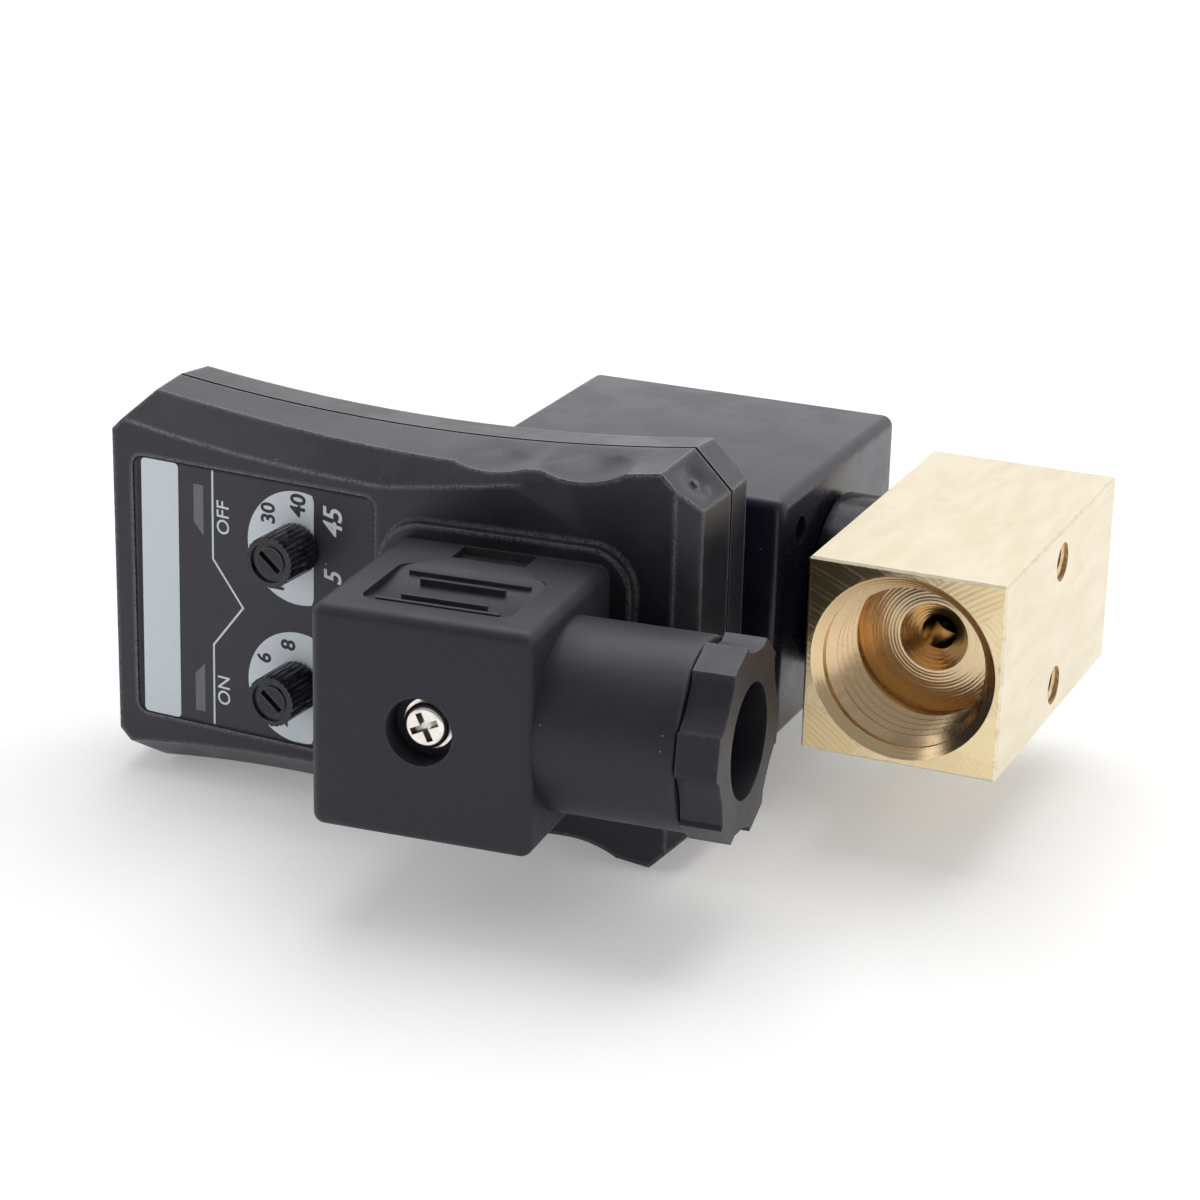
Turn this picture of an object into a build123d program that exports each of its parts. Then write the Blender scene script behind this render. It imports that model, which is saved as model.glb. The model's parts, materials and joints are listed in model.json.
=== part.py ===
from build123d import *
from math import asin, cos, pi, radians, sin, sqrt, tan
import os

os.makedirs("parts", exist_ok=True)

# Automatic drain valve: a brass two-way valve with a plug-in coil, and a timer
# between the coil and its cable plug. It lies on its side: X runs along the
# solenoid stem, Y along the flow, Z is up. The origin is the inlet's mouth.

# Valve body
body_width = 25.0
body_length = 48.0
body_edge = 0.3
port_r = 10.48
port_depth = 12.4
outlet_depth = 11.0
port_mouth_r = 11.7
port_mouth_depth = 0.9
passage_r = 2.25
passage_cone_r = 4.4
passage_cone_depth = 2.15
screw_hole_r = 2.5
screw_hole_spacing = 16.5
screw_hole_depth = 7.0

# Valve chamber and solenoid stem, whose axis runs along X
stem_y = 27.0
stem_thread_r = 9.0
stem_thread_depth = 6.0
chamber_r = 6.6
chamber_depth = 13.0
seat_height = 2.5
seat_r = 3.4
orifice_r = 1.5
orifice_length = 9.0
outlet_passage_x = 6.0
outlet_reach = 1.6
collar_r = 11.5
collar_edge = 0.5
stem_ring_clearance = 0.3
spigot_clearance = 0.05
ring_squeeze = 0.5
tube_outer_r = 5.0
tube_wall = 0.4
tube_flange_r = 7.4
tube_flange_thickness = 1.0
tube_clearance = 0.05
plunger_clearance = 0.1
plunger_length = 36.5
plunger_travel = 1.8
core_gap = 2.0
seal_gap = 0.05
seal_r = 3.3
seal_thickness = 2.4
seal_stand_out = 0.95
spring_pocket_r = 2.5
spring_pocket_plunger = 12.0
spring_pocket_core = 3.0
spring_mean_r = 2.0
spring_wire_r = 0.28
spring_wire_sides = 6
spring_turns = 7
spring_end_gap = 0.05
shading_inner_r = 3.1
shading_outer_r = 3.9
shading_depth = 1.2
stud_r = 4.0
stud_stand_out = 1.2
core_cap_length = 2.0
washer_thickness = 1.0
washer_r = 8.5
nut_flats = 13.0
nut_thickness = 5.5

# Coil
coil_length = 44.0
coil_depth = 42.5
coil_height = 32.0
coil_edge = 1.5
coil_gap = 6.25
coil_axis_offset = 19.25
seal_ring_thickness = 0.4
seal_ring_r = 10.0
coil_bore_clearance = 0.6
bobbin_clearance = 0.08
bobbin_wall = 1.2
bobbin_flange_r = 12.8
bobbin_flange = 1.2
winding_r = 12.2
yoke_length = 38.0
yoke_depth = 31.8
yoke_height = 20.0
yoke_thickness = 2.5
yoke_hole_clearance = 0.4
winding_room = 0.4
marker_hole_r = 1.8
marker_hole_depth = 2.0
marker_hole_inset_y = 6.5
marker_hole_z = 10.5

# Flat connector pins, the same on the coil and on the timer
pin_width = 6.3
pin_thickness = 0.8
pin_length = 9.0
pin_root = 3.0
pin_end = 1.0
fixing_screw_r = 1.5
fixing_screw_clearance = 0.2
fixing_head_r = 2.75
insert_r = 2.6
fixing_head = 1.8
pin_slot_clearance = 0.2
contact_clearance = 0.05
gasket_clearance = 0.3

# Timer housing: two moulded halves with hollow, curved sides
split_y = -4.8
rear_cover_y = 1.84
housing_left = -101.4
housing_right = -21.0
corner_cut = 4.8
waist_x = -63.0
waist_half = 22.85
side_arc_r = 260.0
front_draft = 1.5
left_lean = 6.0
rear_draft = 5.0
wall = 2.0
front_wall = 2.2
bevel_wall = 3.6
split_groove = 0.3
fold_x = -61.7
fold_y = -17.7
label_slope = 3.1
plug_slope = 3.8
strip_width = 3.0
strip_rise = 2.3
inner_step_y = -9.5

# Bevel along the long front edges: x, half width at the ridge, y at the side
bevel_stations = [
    (-106.0, 23.1, -11.2),
    (-76.0, 19.4, -12.4),
    (-46.0, 21.1, -15.2),
    (-16.0, 26.8, -14.6),
]
bevel_cut = 4.0

# Finger scallops in the long sides: x at the middle, half length, depth
scallops = [(-48.0, 5.7, 1.0), (-35.6, 6.1, 1.5)]
scallop_back = 0.9
dimple_r = 2.8
dimple_depth = 0.6
gate_r = 0.5
gate_height = 0.5
gate_sink = 0.2

# Front label and what stands behind it, in the label's own plane: s is the
# distance from the fold, negative to the left
recess_left = -35.7
recess_right = -0.6
recess_half = 17.3
recess_depth = 0.6
recess_corner_r = 1.5
label_clearance = 0.15
label_thickness = 0.45
knob_s = -11.6
knob_z = 9.1
knob_r = 3.25
knob_length = 6.3
knob_lift = 0.25
knob_ribs = 28
knob_rib_depth = 0.2
knob_rim = 0.65
knob_dish = 0.4
knob_slot_width = 0.7
knob_slot_length = 3.4
knob_slot_depth = 0.8
knob_slot_angle = -40
shaft_r = 1.6
shaft_clearance = 0.06
shaft_hole_r = 1.9
pot_size = 7.0
pot_height = 4.4
pot_floor = 0.4
shaft_end_gap = 0.4
board_depth = 7.4
board_thickness = 1.6
board_left = -34.6
board_right = -1.6
board_half = 15.0
board_post_r = 1.6
led_s = -26.5
led_z = 11.7
led_width = 1.3
led_length = 5.6
window_clearance = 0.2
switch_size = 4.6
switch_height = 3.0
switch_floor = 2.0
button_foot = 2.5
button_r = 1.2
button_travel = 0.25
button_gap = 0.15
button_s = -26.5
chip_s = -17.5
chip_size = (9.0, 7.0, 1.8)
film_capacitor_s = -7.5
film_capacitor_size = (6.0, 13.0, 5.4)
electrolytic_s = -27.5
electrolytic_r = 3.0
electrolytic_length = 11.0
electrolytic_flat = 0.2

# Cover screws
cover_screw_r = 1.1
cover_screw_head_r = 2.2
cover_screw_head = 1.6
cover_screw_length = 11.0
cover_screw_clearance = 0.15
cover_head_clearance = 0.3
cover_head_drop = 0.2
cover_slot_width = 0.7
cover_slot_length = 4.0
cover_slot_depth = 0.6
cover_boss_r = 2.7
cover_screw_inset = 7.4
cover_screw_half = 18.0

# Socket at the back of the timer and its gasket
rear_socket = 28.0
rear_socket_corner_r = 2.5
gasket_thickness = 1.0
contact_width = 7.6
contact_thickness = 2.6
contact_depth = 5.6

# Boss for the plug on the front cover, in the plug's own frame
boss_width = 32.5
boss_height = 31.0
boss_corner_r = 5.5
boss_plate = 2.6
boss_rise = 1.88
boss_insert_length = 5.0
boss_insert_wall = 1.8
boss_insert_floor = 1.0
boss_insert_drop = 0.3

# Cable plug
plug_start = 3.27
plug_width = 27.3
plug_height = 27.5
plug_depth = 25.3
plug_edge = 1.5
plug_wall = 2.6
plug_front_wall = 5.0
plug_gasket_thickness = 0.5
plug_screw_hole_r = 4.1
plug_screw_hole_depth = 3.6
plug_screw_head_r = 2.75
plug_screw_head = 1.5
plug_washer_r = 3.1
plug_washer_thickness = 0.4
cross_slot_width = 0.8
cross_slot_length = 3.6
cross_slot_depth = 0.7
cross_slot_angle = 25
plug_head_round = 0.75
grip_half_length = 9.3
grip_near = 4.0
grip_far = 17.6
grip_depth = 1.1
grip_corner_r = 2.0
grip_rib_width = 0.5
grip_rib_drop = 0.15
grip_rib_sink = 0.25
grip_ribs = [(5.5, 7.6), (7.6, 5.3), (13.3, 5.3), (15.5, 7.6)]
notch_half = 4.7
notch_length = 4.2
notch_depth = 1.0
gland_front = 0.85
gland_back = 1.45
gland_reach = 16.7
gland_wall = 2.1
gland_floor = 1.8
gland_edge = 0.5
cable_hole_r = 6.0
grommet_length = 7.5
grommet_hole_r = 5.5
gland_washer_thickness = 1.0
gland_washer_hole_r = 6.4
nut_head_length = 5.0
nut_head_gap = 0.2
nut_lobes = 6
nut_turn = 52

# Outline of one grip lobe: degrees from its middle, height over the barrel
nut_lobe = [(-14, 0.5), (10, 0.5), (15, -0.6), (32, -1.1), (45, -0.2)]
nut_hole_r = 6.9
nut_thread_clearance = 0.1
block_clearance = 0.5
block_wall = 0.5
block_setback = 1.7
clamp_screw_r = 1.4
clamp_screw_length = 6.0
clamp_screw_drop = 0.5
clamp_screw_clearance = 0.1
wire_hole_r = 1.7
wire_hole_pitch = 4.5
wire_hole_depth = 1.5
wire_hole_inset = 3.0
contact_end_gap = 0.3
washer_hole_clearance = 0.05

# Cuts run past the material by a little, and the large ones by far more
over = 1.0
far = 60.0

# Places worked out from the sizes above
pin_room = plug_wall + block_clearance / 2 + block_wall + contact_thickness / 2
pin_offset = plug_width / 2 - pin_room
earth_offset = plug_height / 2 - pin_room
gland_r = (plug_depth - gland_front - gland_back) / 2
gland_axis_depth = gland_front + gland_r
gland_bore_r = gland_r - gland_wall
block_depth = plug_depth - plug_front_wall - block_setback
half_body = body_width / 2
coil_right = -half_body - coil_gap
coil_left = coil_right - coil_length
coil_front = stem_y - coil_axis_offset
coil_back = coil_front + coil_depth
chamber_floor = -half_body + chamber_depth
seat_top = chamber_floor - seat_height
spigot_end = -half_body + stem_thread_depth - ring_squeeze
tube_inner_r = tube_outer_r - tube_wall
plunger_r = tube_inner_r - plunger_clearance
plunger_nose = seat_top - seal_gap - seal_stand_out
plunger_end = plunger_nose - plunger_length
core_face = plunger_end - core_gap
yoke_centre_x = (coil_left + coil_right) / 2
yoke_right = yoke_centre_x + yoke_length / 2
yoke_left = yoke_centre_x - yoke_length / 2
tube_end = yoke_left
core_cap_end = tube_end - core_cap_length
washer_left = coil_left - washer_thickness
nut_left = washer_left - nut_thickness
bobbin_bore_r = tube_outer_r + bobbin_clearance
bobbin_outer_r = bobbin_bore_r + bobbin_wall
coil_bore_r = tube_outer_r + coil_bore_clearance
socket_x = yoke_centre_x
socket_back = coil_front - gasket_thickness
shank_hole_r = fixing_screw_r + fixing_screw_clearance


def half_width(x):
    """Half height of the housing's hollow side at x."""
    return waist_half + side_arc_r - sqrt(side_arc_r ** 2 - (x - waist_x) ** 2)


def front_y(x):
    """Front surface of the housing: a low roof with its ridge at the fold."""
    slope = plug_slope if x > fold_x else -label_slope
    return fold_y + (x - fold_x) * tan(radians(slope))


def block(x0, x1, y0, y1, z0, z1):
    """Rectangular block between two corners."""
    centre = Pos((x0 + x1) / 2, (y0 + y1) / 2, (z0 + z1) / 2)
    return centre * Box(abs(x1 - x0), abs(y1 - y0), abs(z1 - z0))


def x_rod(x0, x1, radius, y=stem_y, z=0.0):
    """Round bar along X, on the stem's axis unless told otherwise."""
    return Pos((x0 + x1) / 2, y, z) * Rot(0, 90, 0) * Cylinder(radius, abs(x1 - x0))


def y_rod(y0, y1, radius, x=0.0, z=0.0):
    """Round bar along Y."""
    return Pos(x, (y0 + y1) / 2, z) * Rot(90, 0, 0) * Cylinder(radius, abs(y1 - y0))


def y_cone(y0, r0, y1, r1, x=0.0, z=0.0):
    """Cone along Y with radius r0 at y0 and r1 at y1."""
    profile = make_face(Polyline((0, y0), (r0, y0), (r1, y1), (0, y1), close=True))
    return Pos(x, 0, z) * revolve(profile, Axis.Y)


# Frames: the label's plane and the plug's front face. In both, local X runs to
# the right, local Y is up and local Z points out towards the user.
label_angle = radians(label_slope)
label_plane = Plane(
    origin=(fold_x, fold_y, 0),
    x_dir=(cos(label_angle), -sin(label_angle), 0),
    z_dir=(-sin(label_angle), -cos(label_angle), 0),
)
plug_angle = radians(plug_slope)
boss_face = plug_depth + plug_gasket_thickness
fold_depth = boss_face + boss_rise
plug_plane = Plane(
    origin=(
        fold_x + plug_start * cos(plug_angle) + fold_depth * sin(plug_angle),
        fold_y + plug_start * sin(plug_angle) - fold_depth * cos(plug_angle),
        0,
    ),
    x_dir=(cos(plug_angle), sin(plug_angle), 0),
    z_dir=(sin(plug_angle), -cos(plug_angle), 0),
)
plug_centre = plug_width / 2
boss_inside = fold_depth + boss_plate


def on_label(shape, s, z, out0, out1):
    """Puts a shape of unit place between two distances out of the label plane."""
    return label_plane.location * Pos(s, z, (out0 + out1) / 2) * shape


def label_box(s, z, width, height, out0, out1):
    return on_label(Box(width, height, abs(out1 - out0)), s, z, out0, out1)


def label_rod(s, z, radius, out0, out1):
    return on_label(Cylinder(radius, abs(out1 - out0)), s, z, out0, out1)


def plug_box(u, z, width, height, depth0, depth1):
    place = Pos(u, z, -(depth0 + depth1) / 2)
    return plug_plane.location * place * Box(width, height, abs(depth1 - depth0))


def plug_rod(u, z, radius, depth0, depth1):
    place = Pos(u, z, -(depth0 + depth1) / 2)
    return plug_plane.location * place * Cylinder(radius, abs(depth1 - depth0))


def gland_rod(radius, u0, u1):
    """Round bar on the cable's axis, from u0 to u1 across the plug."""
    place = Pos((u0 + u1) / 2, 0, -gland_axis_depth) * Rot(0, 90, 0)
    return plug_plane.location * place * Cylinder(radius, abs(u1 - u0))


def pin_places(u_centre):
    """Places and sizes across of the two line pins and the earth pin."""
    return [
        (u_centre - pin_offset, 0, pin_thickness, pin_width),
        (u_centre + pin_offset, 0, pin_thickness, pin_width),
        (u_centre, -earth_offset, pin_width, pin_thickness),
    ]


def grown(size, extra):
    """Size of a slot or sleeve round a pin."""
    return size + 2 * extra


# Valve body: a bar with two threaded ports, a seat and two fixing holes
def make_valve_body():
    bar = block(-half_body, half_body, 0, body_length, -half_body, half_body)
    bar = chamfer(bar.edges(), body_edge)
    for mouth, inward, depth in ((0, 1, port_depth), (body_length, -1, outlet_depth)):
        bar -= y_rod(mouth, mouth + inward * depth, port_r)
        bar -= y_cone(mouth, port_mouth_r, mouth + inward * port_mouth_depth, port_r)
    bar -= y_rod(port_depth, stem_y - seat_r - outlet_reach, passage_r)
    bar -= y_cone(port_depth, passage_cone_r, port_depth + passage_cone_depth, passage_r)
    bar -= y_rod(stem_y - orifice_r, body_length - outlet_depth, passage_r, x=outlet_passage_x)
    bar -= x_rod(-half_body, -half_body + stem_thread_depth, stem_thread_r)
    chamber = x_rod(-half_body, chamber_floor, chamber_r)
    seat = x_rod(seat_top, chamber_floor, seat_r)
    bar -= chamber - seat
    bar -= x_rod(seat_top, seat_top + orifice_length, orifice_r)
    for side in (-1, 1):
        hole_z = side * screw_hole_spacing / 2
        bar -= x_rod(half_body - screw_hole_depth, half_body, screw_hole_r,
                     y=body_length / 2, z=hole_z)
    return bar


# Collar that screws the armature tube down on the body
def make_stem_collar():
    collar = x_rod(coil_right + seal_ring_thickness, -half_body, collar_r)
    edges = collar.edges().filter_by(GeomType.CIRCLE)
    collar = chamfer(edges, collar_edge)
    spigot = x_rod(-half_body, spigot_end, stem_thread_r - spigot_clearance)
    collar = collar + spigot
    collar -= x_rod(coil_right, spigot_end, tube_outer_r + tube_clearance)
    collar -= x_rod(spigot_end - tube_flange_thickness, spigot_end,
                    tube_flange_r + tube_clearance)
    return collar


def make_armature_tube():
    tube = x_rod(tube_end, spigot_end, tube_outer_r)
    tube += x_rod(spigot_end - tube_flange_thickness, spigot_end, tube_flange_r)
    return tube - x_rod(tube_end, spigot_end, tube_inner_r)


def make_fixed_core():
    core = x_rod(core_face, tube_end, tube_inner_r - tube_clearance)
    core += x_rod(tube_end, core_cap_end, tube_outer_r)
    core += x_rod(core_cap_end, nut_left - stud_stand_out, stud_r)
    core -= x_rod(core_face, core_face - spring_pocket_core, spring_pocket_r)
    core -= (x_rod(core_face, core_face - shading_depth, shading_outer_r)
             - x_rod(core_face, core_face - shading_depth, shading_inner_r))
    return core


def make_shading_ring():
    ring = x_rod(core_face, core_face - shading_depth, shading_outer_r)
    return ring - x_rod(core_face, core_face - shading_depth, shading_inner_r)


def make_plunger():
    plunger = x_rod(plunger_end, plunger_nose, plunger_r)
    plunger -= x_rod(plunger_end, plunger_end + spring_pocket_plunger, spring_pocket_r)
    return plunger - x_rod(plunger_nose, plunger_nose - seal_thickness + seal_stand_out, seal_r)


def make_plunger_seal():
    face = seat_top - seal_gap
    return x_rod(face - seal_thickness, face, seal_r)


def make_plunger_spring():
    start = plunger_end + spring_pocket_plunger - spring_wire_r - spring_end_gap
    end = core_face - spring_pocket_core + spring_wire_r + spring_end_gap
    length = start - end
    coil = Helix(pitch=length / spring_turns, height=length, radius=spring_mean_r)
    wire = Plane(origin=coil @ 0, z_dir=coil % 0) * RegularPolygon(spring_wire_r, spring_wire_sides)
    spring = sweep(wire, path=coil)
    return Pos(start, stem_y, 0) * Rot(0, -90, 0) * spring


def make_stem_ring():
    ring = x_rod(spigot_end, -half_body + stem_thread_depth,
                 stem_thread_r - stem_ring_clearance)
    return ring - x_rod(spigot_end, -half_body + stem_thread_depth, chamber_r)


def make_coil_nut():
    hexagon = RegularPolygon(nut_flats / 2, 6, major_radius=False)
    nut = Plane.YZ.location * extrude(hexagon, nut_thickness)
    nut = Pos(nut_left, stem_y, 0) * nut
    return nut - x_rod(nut_left, washer_left, stud_r + tube_clearance)


def make_coil_washer():
    washer = x_rod(washer_left, coil_left, washer_r)
    return washer - x_rod(washer_left, coil_left, stud_r + 2 * tube_clearance)


def make_coil_seal_ring():
    ring = x_rod(coil_right, coil_right + seal_ring_thickness, seal_ring_r)
    return ring - x_rod(coil_right, coil_right + seal_ring_thickness, coil_bore_r)


# Coil: moulded block, steel yoke, bobbin and winding
def yoke_envelope(extra):
    return block(yoke_left, yoke_right, stem_y - yoke_depth / 2, stem_y + yoke_depth / 2,
                 -yoke_height / 2 - extra, yoke_height / 2 + extra)


def make_coil_housing():
    housing = block(coil_left, coil_right, coil_front, coil_back,
                    -coil_height / 2, coil_height / 2)
    housing = fillet(housing.edges(), coil_edge)
    housing -= yoke_envelope(0)
    housing -= x_rod(yoke_left, yoke_right, bobbin_flange_r + winding_room)
    housing -= x_rod(coil_left, coil_right, coil_bore_r)
    housing -= x_rod(coil_right - marker_hole_depth, coil_right, marker_hole_r,
                     y=coil_front + marker_hole_inset_y, z=marker_hole_z)
    for x, z, width, height in pin_places(socket_x):
        housing -= block(x - width / 2, x + width / 2, coil_front, coil_front + pin_root,
                         z - height / 2, z + height / 2)
    housing -= y_rod(coil_front, coil_front + pin_root, insert_r, x=socket_x)
    return housing


def make_yoke():
    yoke = yoke_envelope(0)
    yoke -= block(yoke_left + yoke_thickness, yoke_right - yoke_thickness,
                  stem_y - yoke_depth / 2 + yoke_thickness,
                  stem_y + yoke_depth / 2 - yoke_thickness, -yoke_height, yoke_height)
    return yoke - x_rod(yoke_left, yoke_right, tube_outer_r + yoke_hole_clearance)


def make_bobbin():
    left = yoke_left + yoke_thickness
    right = yoke_right - yoke_thickness
    bobbin = x_rod(left, right, bobbin_outer_r)
    bobbin += x_rod(left, left + bobbin_flange, bobbin_flange_r)
    bobbin += x_rod(right - bobbin_flange, right, bobbin_flange_r)
    return bobbin - x_rod(left, right, bobbin_bore_r)


def make_winding():
    left = yoke_left + yoke_thickness + bobbin_flange
    right = yoke_right - yoke_thickness - bobbin_flange
    return x_rod(left, right, winding_r) - x_rod(left, right, bobbin_outer_r)


def make_coil_pins():
    pins = []
    for x, z, width, height in pin_places(socket_x):
        pins.append(block(x - width / 2, x + width / 2, coil_front - pin_length,
                          coil_front + pin_root, z - height / 2, z + height / 2))
    return pins


def make_coil_insert():
    insert = y_rod(coil_front, coil_front + pin_root, insert_r, x=socket_x)
    return insert - y_rod(coil_front, coil_front + pin_root, fixing_screw_r, x=socket_x)


# Timer housing
def housing_outline(inset=0.0):
    """Outline of the housing seen from the front, with hollow sides."""
    left = housing_left + inset
    right = housing_right - inset
    cut = corner_cut - inset * (sqrt(2) - 1)
    side_left = left + cut
    side_right = right - cut
    top_left = half_width(side_left) - inset
    top_right = half_width(side_right) - inset
    waist = waist_half - inset
    end_left = top_left - cut
    end_right = top_right - cut
    outline = [
        ThreePointArc((side_left, -top_left), (waist_x, -waist), (side_right, -top_right)),
        Line((side_right, -top_right), (right, -end_right)),
        Line((right, -end_right), (right, end_right)),
        Line((right, end_right), (side_right, top_right)),
        ThreePointArc((side_right, top_right), (waist_x, waist), (side_left, top_left)),
        Line((side_left, top_left), (left, end_left)),
        Line((left, end_left), (left, -end_left)),
        Line((left, -end_left), (side_left, -top_left)),
    ]
    return make_face(outline)


def slab(inset, y0, y1, taper=0.0):
    """The outline, extruded along Y from y0 to y1 with a moulding draft."""
    face = Plane(origin=(0, y0, 0), x_dir=(1, 0, 0), z_dir=(0, -1, 0)).location
    amount = y0 - y1
    shape = extrude(housing_outline(inset), abs(amount), taper=taper)
    if amount < 0:
        face = Plane(origin=(0, y0, 0), x_dir=(1, 0, 0), z_dir=(0, 1, 0)).location
    return face * shape


def left_end_limit():
    """Room that the leaning left end and its corners leave for the front cover."""
    end = half_width(housing_left + corner_cut) - corner_cut
    reach = housing_right + far - housing_left
    points = [(housing_left, -end), (housing_left + reach, -end - reach),
              (housing_left + reach, end + reach), (housing_left, end)]
    face = Plane(origin=(0, split_y, 0), x_dir=(1, 0, 0), z_dir=(0, -1, 0)).location
    outline = face * make_face(Polyline(*points, close=True))
    return extrude(outline, far, dir=(sin(radians(left_lean)), -cos(radians(left_lean)), 0))


def in_front_of(offset):
    """All that lies in front of the roof-shaped face, moved in by an offset."""
    far_left = housing_left - far
    far_right = housing_right + far
    strip_x = housing_right - strip_width
    strip_slope = strip_rise / strip_width
    far_y = front_y(strip_x) + offset - strip_slope * far - far
    roof = Polyline(
        (far_left, front_y(far_left) + offset),
        (fold_x, fold_y + offset),
        (strip_x, front_y(strip_x) + offset),
        (far_right, front_y(strip_x) + offset + strip_slope * (far_right - strip_x)),
        (far_right, far_y),
        (far_left, far_y),
        close=True,
    )
    return extrude(make_face(roof), far, both=True)


def bevel_cutter():
    """What the long bevel takes off one front edge."""
    sections = []
    for x, ridge_z, side_y in bevel_stations:
        ridge_y = front_y(x)
        side_z = half_width(x)
        run_y = side_y - ridge_y
        run_z = side_z - ridge_z
        near = (x, ridge_y - run_y, ridge_z - run_z)
        far = (x, side_y + run_y, side_z + run_z)
        outer = (x, ridge_y - run_y - bevel_cut, side_z + run_z + bevel_cut)
        sections.append(Wire.make_polygon([near, far, outer], close=True))
    return Solid.make_loft(sections)


def side_edge_y(x):
    """Where the bevel leaves the side of the housing at x."""
    for near, beyond in zip(bevel_stations, bevel_stations[1:]):
        if x <= beyond[0]:
            share = (x - near[0]) / (beyond[0] - near[0])
            return near[2] + share * (beyond[2] - near[2])
    return bevel_stations[-1][2]


def scallop_cutter(x, half_length, depth):
    """Ball whose surface leaves a finger scallop in the hollow side."""
    ball_r = (half_length ** 2 + depth ** 2) / (2 * depth)
    lift = ball_r - depth
    lean = asin((x - waist_x) / side_arc_r)
    return Pos(x - lift * sin(lean), side_edge_y(x) + scallop_back,
               half_width(x) + lift * cos(lean)) * Sphere(ball_r)


def corner_marks(y):
    """Round moulding dishes to cut in the right-hand corner faces, with their gates."""
    dishes = []
    gates = []
    dish_r = (dimple_r ** 2 + dimple_depth ** 2) / (2 * dimple_depth)
    side_x = housing_right - corner_cut
    for side in (-1, 1):
        middle = (side_x + corner_cut / 2, y, side * (half_width(side_x) - corner_cut / 2))
        out = Plane(origin=middle, z_dir=(1, 0, side)).location
        dishes.append(out * Pos(0, 0, dish_r - dimple_depth) * Sphere(dish_r))
        floor = -dimple_depth - gate_sink
        gates.append(out * Pos(0, 0, floor + gate_height / 2) * Cylinder(gate_r, gate_height))
    return dishes, gates


def make_front_cover():
    cover = slab(0, split_y, fold_y - over, taper=front_draft) & left_end_limit()
    cover -= in_front_of(0)
    cutter = bevel_cutter()
    cover -= cutter
    cover -= cutter.mirror(Plane.XY)
    for scallop in scallops:
        ball = scallop_cutter(*scallop)
        cover -= ball
        cover -= ball.mirror(Plane.XY)
    dishes, gates = corner_marks((split_y + side_edge_y(housing_right)) / 2)
    for dish, gate in zip(dishes, gates):
        cover -= dish
        cover += gate
    cavity = slab(wall, split_y, inner_step_y) + (
        slab(bevel_wall, inner_step_y, fold_y) - in_front_of(front_wall))
    cover -= cavity
    cover += cover_bosses()
    cover += board_posts()
    boss = RectangleRounded(boss_width, boss_height, boss_corner_r)
    boss = Pos(plug_centre, 0, -boss_inside) * extrude(boss, boss_inside - boss_face)
    cover += plug_plane.location * boss
    cover += plug_rod(plug_centre, 0, insert_r + boss_insert_wall, boss_face,
                      boss_face + boss_insert_length + boss_insert_floor)
    cover -= plug_rod(plug_centre, 0, insert_r, boss_face, boss_face + boss_insert_length)
    for u, z, width, height in pin_places(plug_centre):
        cover -= plug_box(u, z, width, height, boss_face, boss_inside + pin_end)
    recess = RectangleRounded(recess_right - recess_left, 2 * recess_half, recess_corner_r)
    middle = (recess_left + recess_right) / 2
    recess = Pos(middle, 0, -recess_depth) * extrude(recess, recess_depth + over)
    cover -= label_plane.location * recess
    for z in (-knob_z, knob_z):
        cover -= label_rod(knob_s, z, shaft_hole_r, -front_wall - over, over)
    for z in (-led_z, led_z):
        cover -= label_box(led_s, z, grown(led_width, window_clearance),
                           grown(led_length, window_clearance), -front_wall - over, over)
    cover -= label_rod(button_s, 0, button_r + window_clearance, -front_wall - over, over)
    for x, z in cover_screw_places():
        cover -= y_rod(split_y, split_y - cover_screw_length + wall, cover_screw_r, x=x, z=z)
    return cover


def cover_screw_places():
    left = housing_left + cover_screw_inset
    right = housing_right - cover_screw_inset
    return [(x, z) for x in (left, right) for z in (-cover_screw_half, cover_screw_half)]


def cover_bosses():
    bosses = Part()
    for x, z in cover_screw_places():
        bosses += y_rod(split_y, front_y(x) + front_wall / 2, cover_boss_r, x=x, z=z)
    return bosses


def board_posts():
    """Posts that the circuit board is pushed on to."""
    posts = Part()
    for s in (board_left + board_post_r, board_right - board_post_r):
        for z in (-board_half + board_post_r, board_half - board_post_r):
            posts += label_rod(s, z, board_post_r, -board_depth, -front_wall / 2)
    return posts


def make_rear_cover():
    cover = slab(split_groove, split_y, split_y + split_groove)
    cover += slab(0, split_y + split_groove, rear_cover_y, taper=rear_draft)
    cavity = slab(wall, split_y, rear_cover_y - wall)
    cover -= cavity
    socket = RectangleRounded(rear_socket, rear_socket, rear_socket_corner_r)
    frame = Plane(origin=(socket_x, rear_cover_y - wall, 0), x_dir=(1, 0, 0), z_dir=(0, 1, 0))
    cover += frame.location * extrude(socket, socket_back - rear_cover_y + wall)
    for x, z in cover_screw_places():
        cover += y_rod(split_y, rear_cover_y - wall / 2, cover_boss_r, x=x, z=z)
        cover -= y_rod(split_y, rear_cover_y, cover_screw_r + cover_screw_clearance,
                       x=x, z=z)
        cover -= y_rod(rear_cover_y - cover_screw_head, rear_cover_y,
                       cover_screw_head_r + cover_head_clearance, x=x, z=z)
    cover -= y_rod(rear_cover_y - wall, socket_back, shank_hole_r, x=socket_x)
    for x, z, width, height in pin_places(socket_x):
        cover -= contact_box(x, z, width, height, 0)
        cover -= pin_slot(x, z, width, height, pin_slot_clearance,
                          rear_cover_y - wall, socket_back)
    return cover


def pin_slot(x, z, width, height, clearance, y0, y1):
    """Slot for a pin between two places along Y, with a clearance all round."""
    half_x = grown(width, clearance) / 2
    half_z = grown(height, clearance) / 2
    return block(x - half_x, x + half_x, y0, y1, z - half_z, z + half_z)


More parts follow.
